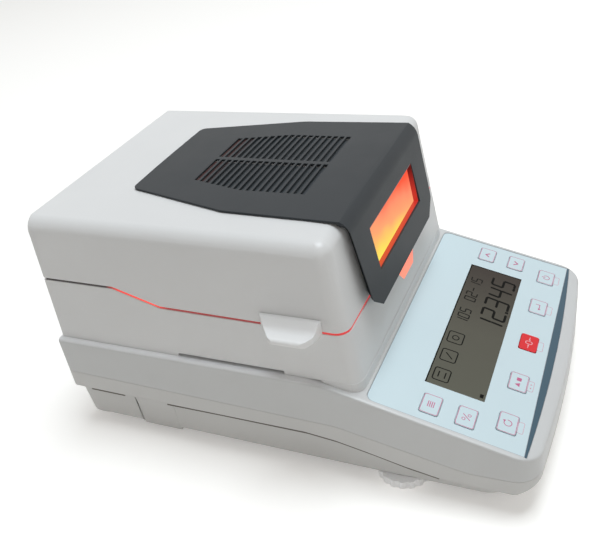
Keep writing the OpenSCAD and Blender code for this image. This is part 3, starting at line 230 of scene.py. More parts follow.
SHELL = dict(rough=0.40, grain=1700)
FILM = dict(spread=0.04, grain=3000, depth=0.006)
INK = dict(rough=0.5, grain=2500, depth=0.004, tint=0.05)
finish = {
    "white_shell": skin("white_moulding", (0.73, 0.73, 0.73), **SHELL),
    # The lift tabs are the lid's white moulding made lighter, as painted light for the light on their
    # tops.
    "tab": skin("lift_tab_painted_light", (0.84, 0.84, 0.84), rough=0.38, grain=1700),
    "case_shell": skin("case_moulding", (0.615, 0.62, 0.62), **SHELL),
    "grey_shell": skin("base_moulding", (0.64, 0.635, 0.625), rough=0.45, grain=1700),
    "dark_cover": skin("charcoal_cover", (0.030, 0.035, 0.040), rough=0.50, grain=2200,
                       depth=0.03, tint=0.06, level=0.26),
    "overlay": skin("pale_blue_film", (0.62, 0.745, 0.79), rough=0.36, tint=0.012, **FILM),
    "stripe": skin("slate_stripe", (0.036, 0.088, 0.128), rough=0.36, tint=0.03, **FILM),
    "key_pale": skin("pale_key_film", (0.62, 0.745, 0.79), rough=0.34, tint=0.012, **FILM),
    "key_red": skin("red_key_film", (0.74, 0.008, 0.018), rough=0.34, tint=0.03, **FILM),
    "pink_ink": skin("pink_ink", (0.56, 0.13, 0.27), **INK),
    "soft_pink_ink": skin("soft_pink_ink", (0.68, 0.30, 0.40), **INK),
    "pale_ink": skin("pale_ink", (0.86, 0.45, 0.50), **INK),
    "edge_ink": skin("grey_edge_ink", (0.36, 0.39, 0.43), **INK),
    "segment": skin("display_segments", (0.006, 0.006, 0.005), rough=0.5, grain=2500,
                    depth=0.002, tint=0.1, level=0.05),
    # The groove's dark brown is painted shadow under the skirt's overhang.
    "groove": skin("skirt_groove_shadow", (0.16, 0.145, 0.13), rough=0.7, depth=0.01, tint=0.05,
                   level=0.1),
    "foot": skin("milky_foot_painted_glow", (0.93, 0.94, 0.96), rough=0.28, grain=1200, tint=0.02),
    "vial": skin("level_vial", (0.45, 0.75, 0.15), rough=0.12, spread=0.03, grain=600,
                 depth=0.01, tint=0.05),
    "display": skin("display_glass", (0.09, 0.09, 0.07), rough=0.22, spread=0.03, grain=900,
                    depth=0.002, tint=0.03, level=0.3),
    "board": skin("green_board", (0.02, 0.12, 0.05), rough=0.4, spread=0.06, grain=900,
                  depth=0.03, tint=0.1),
    "steel": skin("stainless_steel", (0.62, 0.63, 0.64), rough=0.30, spread=0.08, grain=1200,
                  tint=0.03, metal=1.0),
    "alloy": skin("satin_aluminium", (0.72, 0.73, 0.74), rough=0.36, spread=0.07, tint=0.03,
                  metal=1.0),
    "brass": skin("turned_brass", (0.72, 0.52, 0.24), rough=0.3, spread=0.06, grain=1200,
                  tint=0.05, metal=1.0),
    "rubber": skin("black_rubber", (0.03, 0.03, 0.032), rough=0.75, spread=0.06, grain=1300,
                   depth=0.05, tint=0.1),
    "black_plastic": skin("black_moulding", (0.022, 0.022, 0.024), spread=0.06, depth=0.03,
                          tint=0.1),
    "ceramic": skin("white_ceramic", (0.78, 0.76, 0.70), rough=0.55, spread=0.06, grain=900,
                    depth=0.03, tint=0.05),
    "winding": skin("enamelled_winding", (0.42, 0.20, 0.06), rough=0.4, spread=0.08, grain=700,
                    depth=0.1, tint=0.15),
}
print("skins:", len(finish))

# %% Painted highlight on the ledge, painted glow in the feet, and the level
LEDGE_LOW, LEDGE_HIGH = 76.2, 77.8
LEDGE_HIGHLIGHT_COLOUR = (0.90, 0.91, 0.93)

def shader_of(key):
    tree = finish[key].node_tree
    return tree, tree.nodes["Principled BSDF"]

def painted_highlight_above(key, low, high, colour):
    """Blends the colour to a lighter one between two heights in millimetres, as a painted highlight.
    """
    tree, bsdf = shader_of(key)
    old = bsdf.inputs["Base Color"].links[0].from_socket
    split = tree.nodes.new("ShaderNodeSeparateXYZ")
    tree.links.new(object_place(tree), split.inputs[0])
    rise = between(tree, split.outputs["Z"], 0, 1, low * MM, high * MM)
    tree.links.new(blend_colours(tree, rise, old, colour), bsdf.inputs["Base Color"])

# The top of the ledge is lighter: a painted highlight where the light from above falls on it.
painted_highlight_above("case_shell", LEDGE_LOW, LEDGE_HIGH, LEDGE_HIGHLIGHT_COLOUR)
# The feet are milky and let light through; their small emission is a painted glow of that light.
set_inputs(shader_of("foot")[1], {
    "Subsurface Weight": 0.5, "Subsurface Radius": (0.006, 0.006, 0.006),
    "Emission Color": (1, 1, 1, 1), "Emission Strength": 0.08})
set_inputs(shader_of("vial")[1], {"Transmission Weight": 0.6})
print("the ledge is lighter above", LEDGE_LOW, "mm")

# %% [markdown]
# ### Light that shines through
# The lamps in the lid are on. Their light fills the window, from yellow near the lamps to orange-red
# at its far end, and leaks red through the joint under the lid. Real lamps inside the lid would need
# a very long render to say the same. Ramps along the axes of the object give those colours, so they
# stay in place when the instrument is seen from another side.

# %% Glow that changes along the object
WOBBLE_SCALE, PANE_SCALE = 38, 60

def ramp(tree, value, stops):
    node = tree.nodes.new("ShaderNodeValToRGB")
    while len(node.color_ramp.elements) < len(stops):
        node.color_ramp.elements.new(0.5)
    for element, (place, colour) in zip(node.color_ramp.elements, stops):
        element.position, element.color = place, (*colour, 1)
    tree.links.new(value, node.inputs["Fac"])
    return node.outputs["Color"]

def along(tree, where, slope, start):
    """A value that grows with the object's own coordinates; slope is its growth per metre."""
    dot = tree.nodes.new("ShaderNodeVectorMath")
    dot.operation = "DOT_PRODUCT"
    dot.inputs[1].default_value = slope
    tree.links.new(where, dot.inputs[0])
    return calc(tree, "ADD", dot.outputs["Value"], start)

def glow(name, base, stops, slope, start=0.0, strength=1.0, wobble=0.0, rough=0.3, level=0.5):
    material, tree, bsdf = new_material(name)
    where = object_place(tree)
    value = along(tree, where, slope, start)
    if wobble:
        shake = between(tree, noise(tree, where, WOBBLE_SCALE, 1), -wobble, wobble, 0.3, 0.7)
        value = calc(tree, "ADD", value, shake)
    gloss = between(tree, noise(tree, where, PANE_SCALE), rough - 0.04, rough + 0.04)
    tree.links.new(ramp(tree, value, stops), bsdf.inputs["Emission Color"])
    tree.links.new(gloss, bsdf.inputs["Roughness"])
    set_inputs(bsdf, {"Emission Strength": strength, "Base Color": (*base, 1),
                      "Specular IOR Level": level})
    return material

glows = {
    "window": glow("lit_window", (0.04, 0.01, 0.005), [
        (0.0, (1.0, 0.97, 0.12)), (0.15, (1.0, 0.74, 0.13)), (0.31, (1.0, 0.40, 0.18)),
        (0.46, (1.0, 0.29, 0.16)), (0.60, (1.0, 0.12, 0.06)), (0.74, (1.0, 0.045, 0.025))],
        slope=(3.6, 0, 14), start=-1.60, wobble=0.06, rough=0.22, level=0.0),
    "seam_glow": glow("joint_light", (0.02, 0.01, 0.01), [
        (0.0, (0.80, 0.04, 0.03)), (0.26, (0.62, 0.02, 0.02)), (0.44, (0.27, 0.012, 0.012)),
        (0.69, (0.30, 0.012, 0.012)), (0.73, (1.0, 0.07, 0.05)), (0.83, (0.85, 0.03, 0.02)),
        (0.87, (0.004, 0.0, 0.0)), (1.0, (0.0, 0.0, 0.0))],
        slope=(0, 4, 0), start=0.42),
    "reveal": glow("lit_reveal", (0.10, 0.01, 0.01), [
        (0.0, (0.53, 0.028, 0.018)), (0.45, (0.45, 0.018, 0.013)), (1.0, (0.03, 0.002, 0.002))],
        slope=(4, 0, 30), start=-3.75),
    "soft_glow": glow("chamber_light", (0.30, 0.10, 0.06), [
        (0.0, (1.0, 0.26, 0.14)), (0.5, (1.0, 0.22, 0.12)), (1.0, (1.0, 0.16, 0.09))],
        slope=(16, 0, 0), start=0.4, strength=0.95),
    "lamp": glow("quartz_lamp", (0.9, 0.75, 0.5), [
        (0.0, (1.0, 0.55, 0.2)), (1.0, (1.0, 0.45, 0.15))],
        slope=(6, 0, 0), start=0.4, strength=0.6),
    # The liner and reflector glow faintly red towards the back: painted lamp light.
    "liner": glow("liner_painted_lamp_light", (0.10, 0.105, 0.11), [
        (0.0, (0.0, 0.0, 0.0)), (1.0, (0.03, 0.012, 0.01))],
        slope=(0, 10, 0), rough=0.6, level=0.1),
    # Sheet under the vents: painted shade in the slots, with a faint painted lamp glow towards the
    # back.
    "vent_shade": glow("vent_painted_shade", (0.022, 0.026, 0.030), [
        (0.0, (0.010, 0.013, 0.015)), (0.62, (0.010, 0.013, 0.015)),
        (0.80, (0.060, 0.020, 0.017)), (1.0, (0.08, 0.022, 0.018))],
        slope=(0, 11.2, 0), rough=0.7),
}
finish.update(glows)
print("glows:", len(glows))

# %% Display glass, olive at the left and darkening to brown at the right: the darkening is painted shade
tree, bsdf = shader_of("display")
across = along(tree, object_place(tree), (7.4, 0, 0), 0.5)
glass_painted_shade = ramp(tree, across, [
    (0.0, (0.098, 0.098, 0.074)), (0.45, (0.085, 0.082, 0.062)), (1.0, (0.024, 0.015, 0.010))])
tree.links.new(glass_painted_shade, bsdf.inputs["Base Color"])
print("display glass:", finish["display"].name)

# %% [markdown]
# ## Soft edges on the mouldings
# A moulded edge always has a small radius, and that radius is what catches the light. The packed
# shells have true outlines but knife edges. Each one is copied, its loose triangles are merged into
# whole faces, edges above a set angle are marked sharp, and a bevel rounds them. The copy then stands
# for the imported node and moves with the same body.

# %% Dress a packed moulding
WELD = 2e-6
SHARP_ANGLE, FLAT_ANGLE = math.radians(32), math.radians(0.6)

def attach(piece, body):
    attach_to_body(piece, body)

def dress(node, material, name, edge=0.35, reshape=None):
    """Copies a node and rounds its edges; edge is in millimetres, reshape moves its points."""
    mesh = bpy.data.meshes.new(name)
    bm = bmesh.new()
    bm.from_mesh(frame["nodes"][node].data)
    bmesh.ops.remove_doubles(bm, verts=bm.verts, dist=WELD)
    if reshape:
        for vert in bm.verts:
            vert.co = reshape(vert.co / MM) * MM
    bmesh.ops.dissolve_limit(bm, angle_limit=FLAT_ANGLE, verts=bm.verts, edges=bm.edges,
                             delimit=set())
    for face in bm.faces:
        face.smooth = True
        face.material_index = 0
    for e in bm.edges:
        e.smooth = len(e.link_faces) == 2 and e.calc_face_angle(0) < SHARP_ANGLE
    bm.to_mesh(mesh); bm.free()
    if "custom_normal" in mesh.attributes:
        mesh.attributes.remove(mesh.attributes["custom_normal"])
    mesh.materials.append(material)
    piece = add_object(name, mesh)
    bevel = piece.modifiers.new("soft edges", "BEVEL")
    bevel.width, bevel.segments, bevel.limit_method = edge * MM, 2, "ANGLE"
    bevel.angle_limit, bevel.use_clamp_overlap = SHARP_ANGLE, False
    bevel.harden_normals = False
    even = piece.modifiers.new("even shading", "WEIGHTED_NORMAL")
    even.keep_sharp = False
    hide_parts(node)
    attach(piece, body_of_node[node])
    print(f"{name}: {len(mesh.polygons)} faces from {node}")

print("edges rounded above", round(math.degrees(SHARP_ANGLE)), "degrees")

# %% [markdown]
# ### The tub
# The tub of the base carries the balance. On the real case it stands almost flush with the skirt
# above it, its rear corners are fuller, and the skirt hangs lower near the front. Modelling it anew
# would lose its ribs and bosses, so the points of the copy are moved before its edges are rounded.

# %% A fuller tub
SKIRT_LINE = [(-148, 17.0), (-114, 17.5), (-104, 22.5), (-85, 26.1), (-62, 30.6), (-39, 34.8),
              (168, 39.2)]
SKIRT_DROP = [(-114, 0), (-104, -4.3), (-85, -4.4), (-62, -3.1), (-39, -2.2), (-18, -0.2),
              (45, -1.2), (90, -2.4), (168, -3.4)]
TUB_TOP = 40
SKIRT_INSIDE, SKIRT_FROM = 89.9, 15
BOSS_FRONT, BOSS_REAR, BOSS_INSIDE, BOSS_SOLE = 84.5, 117.5, 67.5, 6.2
NEW_SOLE, NEW_SOLE_X, NEW_BOSS_X = 4.6, 96.8, 98.7
# Arcs round the corners: their centres, and the distances between which the tub's wall lies.
ARC_X, ARC_REAR, ARC_FRONT = 82, 149.5, -138
WALL_NEAR, WALL_FAR = 7.9, 12.7
# Outward pushes, and the heights between which the wall bends into the floor.
SIDE_PUSH, UPPER_PUSH, CORNER_PUSH, BACK_PUSH = 3.6, 0.6, 3.0, 4.0
BEND_LOW, BEND_RISE, BEND_TOP = 6, 3.5, 10
FLATTEN = 0.3

def at(knots, y):
    """Straight lines between knots."""
    for (y0, z0), (y1, z1) in zip(knots, knots[1:]):
        if y <= y1:
            return z0 + (z1 - z0) * max(0, y - y0) / (y1 - y0)
    return knots[-1][1]

def wall_push(out, z, at_rear):
    """How far a point of the tub's wall moves; out points to it from the centre of its arc."""
    rise = min(1, max(0, (z - BEND_LOW) / BEND_RISE))
    if not at_rear:
        return out.normalized() * (SIDE_PUSH + UPPER_PUSH * rise)
    angle = math.atan2(out.y, out.x)
    corner = CORNER_PUSH * math.sin(2 * angle)
    back = BACK_PUSH if z > BEND_TOP else BACK_PUSH * rise - BACK_PUSH
    return Vector((SIDE_PUSH * max(0, math.cos(angle)) ** FLATTEN + corner,
                   back * max(0, math.sin(angle)) ** FLATTEN + corner, 0))

def fuller_tub(co):
    """The tub below the skirt stands almost flush with it, and the bosses end near its floor."""
    x, y, z = co
    side = 1 if x > 0 else -1
    if z > TUB_TOP:
        return co
    if abs(x) > SKIRT_INSIDE and SKIRT_FROM < z < at(SKIRT_LINE, y) + 1:
        z += at(SKIRT_DROP, y)
    if BOSS_FRONT < y < BOSS_REAR:
        if abs(x) > BOSS_INSIDE and z < BOSS_SOLE:
            return Vector((side * min(abs(x), NEW_SOLE_X), y, max(z, NEW_SOLE)))
        if 94.5 < abs(x) < 99.5:
            return Vector((side * NEW_BOSS_X, y, z))
    behind = y > ARC_REAR
    out = Vector((max(0, abs(x) - ARC_X), y - ARC_REAR if behind else min(0, y - ARC_FRONT), 0))
    if WALL_NEAR < out.length < WALL_FAR:
        push = wall_push(out, z, behind)
        return Vector((x + side * push.x, y + push.y, z))
    return Vector((x, y, z))

dress("bottom_case", finish["grey_shell"], "base_tub", reshape=fuller_tub)

# %% [markdown]
# ### Deck, chamber walls and dome
# These three mouldings make the rest of the body: the deck with the sloping panel, the walls of the
# heating chamber, and the dome of the lid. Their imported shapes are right, so only edges are rounded.

# %% Deck, walls and dome
dress("top_case", finish["case_shell"], "base_deck")
dress("chamber_housing", finish["white_shell"], "chamber_walls")
dress("lid_shell", finish["white_shell"], "lid_dome")

# %% [markdown]
# ### The hood
# The dark cover ends in a hood over the lid's front. Its sides are thin and run inwards behind the
# front edge, so from the side only an edge shows. The copy's side points move inboard below the top.

# %% A hood with thin sides
HOOD_TOP, HOOD_INBOARD, HOOD_TURN = 171, 9, 6
HOOD_LIP_Y, HOOD_LIP_Z, HOOD_LEAN = -62.3, 108.6, 0.17
EDGE_THICKNESS = 4

def undercut_hood(co):
    """Moves the sides of the hood inwards behind its front edge."""
    x, y, z = co
    front_y = HOOD_LIP_Y + (z - HOOD_LIP_Z) * HOOD_LEAN
    in_hood_side = y < -45 and z < HOOD_TOP and abs(x) > 50
    if in_hood_side and y - front_y > EDGE_THICKNESS:
        shift = HOOD_INBOARD * min(1, (HOOD_TOP - z) / HOOD_TURN)
        return Vector((x - math.copysign(shift, x), y, z))
    return co

dress("lid_cover", finish["dark_cover"], "lid_hood", edge=0.3,
      reshape=undercut_hood)

# %% [markdown]
# ### Lift tabs
# A tab on each side of the lid lifts it. It is a thin moulding, so its edges are a little sharper.

# %% Lift tabs
# The tabs' white is lighter than the lid's: painted light for the light that falls on them.
for side in ("left", "right"):
    dress(f"handle_{side}", finish["tab"], f"lift_tab_{side}", edge=0.3)

# %% [markdown]
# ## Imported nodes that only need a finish
# Everything else has the right shape already, so it keeps its mesh and gets a material.

# %% Finish the remaining nodes
dressed = {"bottom_case", "top_case", "chamber_housing", "lid_shell", "lid_cover",
           "handle_left", "handle_right"}
# The liner and reflector get the liner's painted lamp light.
lamp_lit_nodes = {"lid_liner", "reflector"}
for node, packed in frame["nodes"].items():
    if node not in dressed:
        packed.data.materials.clear()
        packed.data.materials.append(finish["liner" if node in lamp_lit_nodes else slot_of_node[node]])
print("coated nodes:", len(frame["nodes"]) - len(dressed))

# %% [markdown]
# ### Rear pads
# Two soft rubber pads carry the back. Each is a short round block with a rounded lower edge, set well
# under the tub, so that it hardly shows. A cone of equal radii makes it, with one edge bevelled.

# %% Rear pads
PAD_X, PAD_Y, PAD_RADIUS, PAD_HEIGHT, PAD_EDGE = 78, 102, 8.4, 6.0, 0.8

def make_piece(bm, name, material, body):
    """Turns finished shapes, in metres, into a piece that rides on a body."""
    mesh = bpy.data.meshes.new(name)
    bm.to_mesh(mesh); bm.free()
    mesh.materials.append(material)
    piece = add_object(name, mesh)
    attach(piece, body)
    print(f"{name}: {len(mesh.polygons)} faces on {body}")
    return piece

bm = bmesh.new()
for x in (-PAD_X, PAD_X):
    bmesh.ops.create_cone(bm, cap_ends=True, segments=32, radius1=PAD_RADIUS, radius2=PAD_RADIUS,
                          depth=PAD_HEIGHT, matrix=Matrix.Translation((x, PAD_Y, PAD_HEIGHT / 2)))
rims = [e for e in bm.edges if all(v.co.z < 0.1 for v in e.verts)]
bmesh.ops.bevel(bm, geom=rims, offset=PAD_EDGE, offset_type="OFFSET", segments=2, profile=0.5,
                affect="EDGES", material=-1)
bmesh.ops.transform(bm, matrix=TO_METRES, verts=bm.verts)
rear_pads = make_piece(bm, "rear_pads", finish["rubber"], "base")
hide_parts("rear_feet")

# %% [markdown]
# ## Printing on the panel
# The panel slopes at 14.3 degrees. Every mark is drawn flat, in panel coordinates: x across, and y up
# the slope, from 0 at the back edge of the film. It is then given the thickness of ink and laid on
# the film with one matrix. A tile with bevelled corners makes a rounded shape, and an inset leaves
# its outline. A picture of the marks would blur close by, and shapes don't.

# %% Flat shapes in panel coordinates
PANEL_SLOPE = math.radians(14.3)
PANEL_BACK = Vector((0, -61.3 * MM, 70.03 * MM))
panel = Matrix.Translation(PANEL_BACK) @ Matrix.Rotation(PANEL_SLOPE, 4, "X")
print("panel origin", [round(v, 4) for v in panel.translation])

def spot(x, y, turned=0.0):
    return Matrix.Translation((x, y, 0)) @ Matrix.Rotation(math.radians(turned), 4, "Z")

def round_corners(bm, verts, r, segments):
    bmesh.ops.bevel(bm, geom=verts, offset=r, offset_type="OFFSET", segments=segments,
                    profile=0.5, affect="VERTICES", material=-1)

def tile(bm, x, y, w, l, r=0.0, turned=0.0, segments=4):
    """A flat tile in millimetres, with round corners if r is given; returns its face."""
    known = set(bm.faces)
    place = spot(x, y, turned) @ Matrix.Diagonal((w, l, 1, 1))
    made = bmesh.ops.create_grid(bm, x_segments=1, y_segments=1, size=0.5, matrix=place)
    if r:
        round_corners(bm, made["verts"], r, segments)
    return [f for f in bm.faces if f not in known][0]

def hollow_out(bm, face, line):
    """Leaves only a line of the given width along the edge of a face."""
    bmesh.ops.inset_individual(bm, faces=[face], thickness=line, use_even_offset=True)
    bmesh.ops.delete(bm, geom=[face], context="FACES")

def outline(bm, x, y, w, l, r, line):
    hollow_out(bm, tile(bm, x, y, w, l, r), line)

def stroke(bm, x0, y0, x1, y1, w):
    """A line with round ends."""
    d = Vector((x1 - x0, y1 - y0))
    turned = math.degrees(math.atan2(d.y, d.x))
    tile(bm, (x0 + x1) / 2, (y0 + y1) / 2, d.length + w, w, w * 0.45, turned, 2)

def ring(bm, x, y, r, line, gap=None):
    """A ring, open between two angles in degrees if a gap is given."""
    made = bmesh.ops.create_circle(bm, cap_ends=True, segments=24, radius=r, matrix=spot(x, y))
    inner = made["verts"][0].link_faces[0]
    rim = bmesh.ops.inset_individual(bm, faces=[inner], thickness=line, use_even_offset=True)
    gone = [inner]
    for f in rim["faces"] if gap else ():
        c = f.calc_center_median()
        if gap[0] <= math.degrees(math.atan2(c.y - y, c.x - x)) % 360 <= gap[1]:
            gone.append(f)
    bmesh.ops.delete(bm, geom=gone, context="FACES")

def triangle(bm, x, y, r, turned):
    bmesh.ops.create_circle(bm, cap_ends=True, segments=3, radius=r, matrix=spot(x, y, turned))

def lay(bm, name, key, body, height=0.0, ink=0.03, place=panel):
    """Gives flat shapes the thickness of ink and lays them at a height above a plane."""
    up = bmesh.ops.extrude_face_region(bm, geom=bm.faces[:])
    raised = [v for v in up["geom"] if isinstance(v, bmesh.types.BMVert)]
    bmesh.ops.translate(bm, vec=(0, 0, ink), verts=raised)
    bmesh.ops.recalc_face_normals(bm, faces=bm.faces)
    onto = place @ Matrix.Translation((0, 0, height * MM)) @ TO_METRES
    bmesh.ops.transform(bm, matrix=onto, verts=bm.verts)
    make_piece(bm, name, finish[key], body)

# %% [markdown]
# ### Keys
# The keys are domes under the film, so what one sees is a printed frame, a plain sign inside it, and
# a small tab in front. The frame and sign ride on the key, because they go down with it. The tab is
# printed on the film round the keys and stays.

# %% Signs for the nine keys
FRONT_ROW = -82.8
keys = {"menu": (-84.7, -37.3), "unit": (-84.7, -59.2), "up": (84.7, -37.3), "down": (84.7, -59.2),
        "reset": (-77.68, FRONT_ROW), "start": (-40.47, FRONT_ROW), "tare": (-0.30, FRONT_ROW),
        "enter": (40.76, FRONT_ROW), "power": (78.47, FRONT_ROW)}
KEY_TOP = 0.4
FRAME_WIDTH, FRAME_LENGTH, FRAME_CORNER, FRAME_LINE = 15.6, 11.2, 1.5, 0.36

def sign(bm, kind, x, y):
    if kind == "menu":
        for k in range(4):
            stroke(bm, x - 2.2, y + 1.8 - 1.2 * k, x + 2.2, y + 1.8 - 1.2 * k, 0.55)
    elif kind == "unit":
        stroke(bm, x - 1.9, y - 2.3, x + 1.9, y + 2.3, 0.5)
        ring(bm, x - 1.8, y + 1.5, 1.15, 0.4)
        ring(bm, x + 1.8, y - 1.5, 1.15, 0.4)
    elif kind in ("up", "down"):
        way = 1 if kind == "up" else -1
        stroke(bm, x - 2.1, y - 1.2 * way, x, y + 1.3 * way, 0.95)
        stroke(bm, x, y + 1.3 * way, x + 2.1, y - 1.2 * way, 0.95)
    elif kind == "reset":
        ring(bm, x, y, 2.6, 0.5, gap=(20, 75))
        triangle(bm, x + 1.3, y + 2.3, 1.15, -20)
    elif kind == "start":
        triangle(bm, x - 2.5, y, 2.1, 0)
        tile(bm, x + 2.4, y, 3.0, 3.0, 0.3)
    elif kind == "tare":
        outline(bm, x, y, 3.2, 4.8, 1.3, 0.5)
        for way in (-1, 1):
            stroke(bm, x + 5.4 * way, y, x + 3.4 * way, y, 0.45)
            triangle(bm, x + 2.9 * way, y, 0.95, 180 if way > 0 else 0)
    elif kind == "enter":
        stroke(bm, x + 2.6, y + 1.9, x + 2.6, y - 0.8, 0.55)
        stroke(bm, x + 2.6, y - 0.8, x - 2.0, y - 0.8, 0.55)
        triangle(bm, x - 2.4, y - 0.8, 1.2, 180)
    elif kind == "power":
        ring(bm, x, y - 0.3, 2.5, 0.5, gap=(60, 120))
        stroke(bm, x, y + 0.6, x, y + 2.7, 0.55)

for kind, (x, y) in keys.items():
    bm = bmesh.new()
    if kind != "tare":
        outline(bm, x, y, FRAME_WIDTH, FRAME_LENGTH, FRAME_CORNER, FRAME_LINE)
    sign(bm, kind, x, y)
    ink = "pale_ink" if kind == "tare" else "pink_ink"
    lay(bm, f"print_{kind}", ink, f"key_{kind}", height=KEY_TOP)

# %% Tabs before the front row, and the border of the film
TAB_Y, TAB_WIDTH, TAB_LENGTH, TAB_CORNER = FRONT_ROW - 7.8, 9.4, 3.8, 1.0
FILM_WIDTH, FILM_LENGTH, FILM_CORNER = 197.4, 96.2, 5
THIN_LINE = 0.28
bm = bmesh.new()
for x, y in keys.values():
    if y == FRONT_ROW:
        outline(bm, x, TAB_Y, TAB_WIDTH, TAB_LENGTH, TAB_CORNER, THIN_LINE)
for shift, turned in ((-1.6, 0), (1.6, 180)):
    triangle(bm, keys["start"][0] + shift, TAB_Y, 0.8, turned)
lay(bm, "print_tabs", "soft_pink_ink", "base")

bm = bmesh.new()
border = tile(bm, 0, -FILM_LENGTH / 2, FILM_WIDTH, FILM_LENGTH)
round_corners(bm, [v for v in border.verts if v.co.y > -1], FILM_CORNER, 6)
hollow_out(bm, bm.faces[:][0], THIN_LINE)
lay(bm, "print_border", "edge_ink", "base", ink=0.02)

# %% [markdown]
# ### Display
# A segment display shows seven bars to a digit. Each bar is a short stroke, and a table of the bars
# that are dark turns a number into shapes. The upper row is small, the reading below it is large, and
# three plain frames at the left stand for the signs of its state.

# %% Digits and frames
BARS_OF = {"0": "abcdef", "1": "bc", "2": "abged", "3": "abgcd", "4": "fgbc", "5": "afgcd",
           "6": "afgedc", "7": "abc", "8": "abcdefg", "9": "abcdfg", "-": "g"}
SLANT = 0.08

def digit(bm, char, x, y, h):
    w, thick, gap = h * 0.5, h * 0.11, h * 0.05
    bars = {"a": (0, h, w, h), "g": (0, h / 2, w, h / 2), "d": (0, 0, w, 0),
            "f": (0, h / 2, 0, h), "b": (w, h / 2, w, h),
            "e": (0, 0, 0, h / 2), "c": (w, 0, w, h / 2)}
    for name in BARS_OF[char]:
        x0, y0, x1, y1 = bars[name]
        dx, dy = (gap if x1 > x0 else 0), (gap if y1 > y0 else 0)
        stroke(bm, x + x0 + dx + SLANT * y0, y + y0 + dy,
               x + x1 - dx + SLANT * y1, y + y1 - dy, thick)

def reading(bm, text, x, y, h):
    for char in text:
        if char == ".":
            tile(bm, x - h * 0.10, y, h * 0.13, h * 0.13)
        else:
            digit(bm, char, x, y, h)
            x += h * 0.78

UPPER_ROW, SMALL, LOWER_ROW, LARGE = -40.4, 7.6, -63.4, 16.0
STATE_ROW, STATE_LINE = -37.0, 0.8
bm = bmesh.new()
reading(bm, "105", -2, UPPER_ROW, SMALL)
reading(bm, "02-15", 24, UPPER_ROW, SMALL)
reading(bm, "12.345", 0, LOWER_ROW, LARGE)
for x in (-57, -38, -19):
    outline(bm, x, STATE_ROW, 12.0, 11.0, 1.9, STATE_LINE)
for y in (-39.2, -35.0):
    stroke(bm, -59.4, y, -54.6, y, STATE_LINE)
stroke(bm, -40.2, -39.4, -35.8, -34.8, STATE_LINE)
ring(bm, -19, STATE_ROW, 2.5, 0.7)
tile(bm, -63.3, -64.0, 3.2, 2.2)
lay(bm, "display_reading", "segment", "base", ink=0.02)

# %% Painted shade along the step at the back and right of the display
bm = bmesh.new()
tile(bm, 0, -29.1, 134.8, 0.8)
tile(bm, 67.0, -47.6, 0.8, 37.0)
lay(bm, "display_step_painted_shade", "segment", "base", ink=0.02)

# %% [markdown]
# ## Window and joint
# The window sits at the bottom of a short recess in the hood. Its walls are the edge of the lit pane,
# so they shine a deep red. The joint under the lid is a narrow dark gap, and from its step to the
# front corner the lamp light leaks out of it. Both are drawn on the plane of the leaning front wall.

# %% Recess walls round the window
WALL_LEAN = math.radians(7.6)
WALL_FOOT_Y, WALL_FOOT_Z = -59, 78
front = (Matrix.Translation((0, WALL_FOOT_Y * MM, WALL_FOOT_Z * MM))
         @ Matrix.Rotation(math.radians(90) - WALL_LEAN, 4, "X"))

def up_wall(z):
    return (z - WALL_FOOT_Z) / math.cos(WALL_LEAN)

WINDOW_LOW, WINDOW_HIGH, WINDOW_WIDTH = 126.2, 155.3, 88.2
PANE_HEIGHT, RECESS_DEPTH, RECESS_LINE = 2.1, 3.2, 0.45
low, high = up_wall(WINDOW_LOW), up_wall(WINDOW_HIGH)
bm = bmesh.new()
outline(bm, 0, (low + high) / 2, WINDOW_WIDTH, high - low - 0.2, 0.0, RECESS_LINE)
lay(bm, "window_reveal", "reveal", "lid", height=PANE_HEIGHT, ink=RECESS_DEPTH,
    place=front)

# %% Light below the hood
PATCH = ((1.4, 89.4), (23.7, 89.1), (-4.8, 97), (27.9, 97))
bm = bmesh.new()
patch = tile(bm, 0, 0, 1, 1)
for corner, (x, z) in zip(sorted(patch.verts, key=lambda v: (v.co.y, v.co.x)), PATCH):
    corner.co = (x, up_wall(z), 0)
lay(bm, "glow_below_hood", "soft_glow", "base", ink=0.12, place=front)

# %% A strip that stands on a path
WALL_X = 98.2

def band(name, path, low, height, key, body, thick=0.2):
    """A thin strip along a path; low and height give its two edges in millimetres at (x, y)."""
    bm = bmesh.new()
    line = [bm.verts.new((x, y, low(x, y))) for x, y in path]
    edges = [bm.edges.new(pair) for pair in zip(line, line[1:])]
    up = bmesh.ops.extrude_edge_only(bm, edges=edges)
    for vert in [v for v in up["geom"] if isinstance(v, bmesh.types.BMVert)]:
        vert.co.z = height(vert.co.x, vert.co.y)
    bm.normal_update()
    bmesh.ops.solidify(bm, geom=bm.faces[:], thickness=thick)
    bmesh.ops.recalc_face_normals(bm, faces=bm.faces)
    bmesh.ops.transform(bm, matrix=TO_METRES, verts=bm.verts)
    make_piece(bm, name, finish[key], body)

def round_front(x_side, y_front, r, ys):
    """Down one side, round the front corner with radius r, and back along the other side."""
    path = [(-x_side, y) for y in ys] + [(-x_side, y_front + r)]
    for a in (22, 45, 68, 90):
        path.append((-x_side + r - r * math.cos(math.radians(a)),
                     y_front + r - r * math.sin(math.radians(a))))
    return path + [(-x, y) for x, y in reversed(path)]

print("wall of the chamber stands at", WALL_X, "mm")

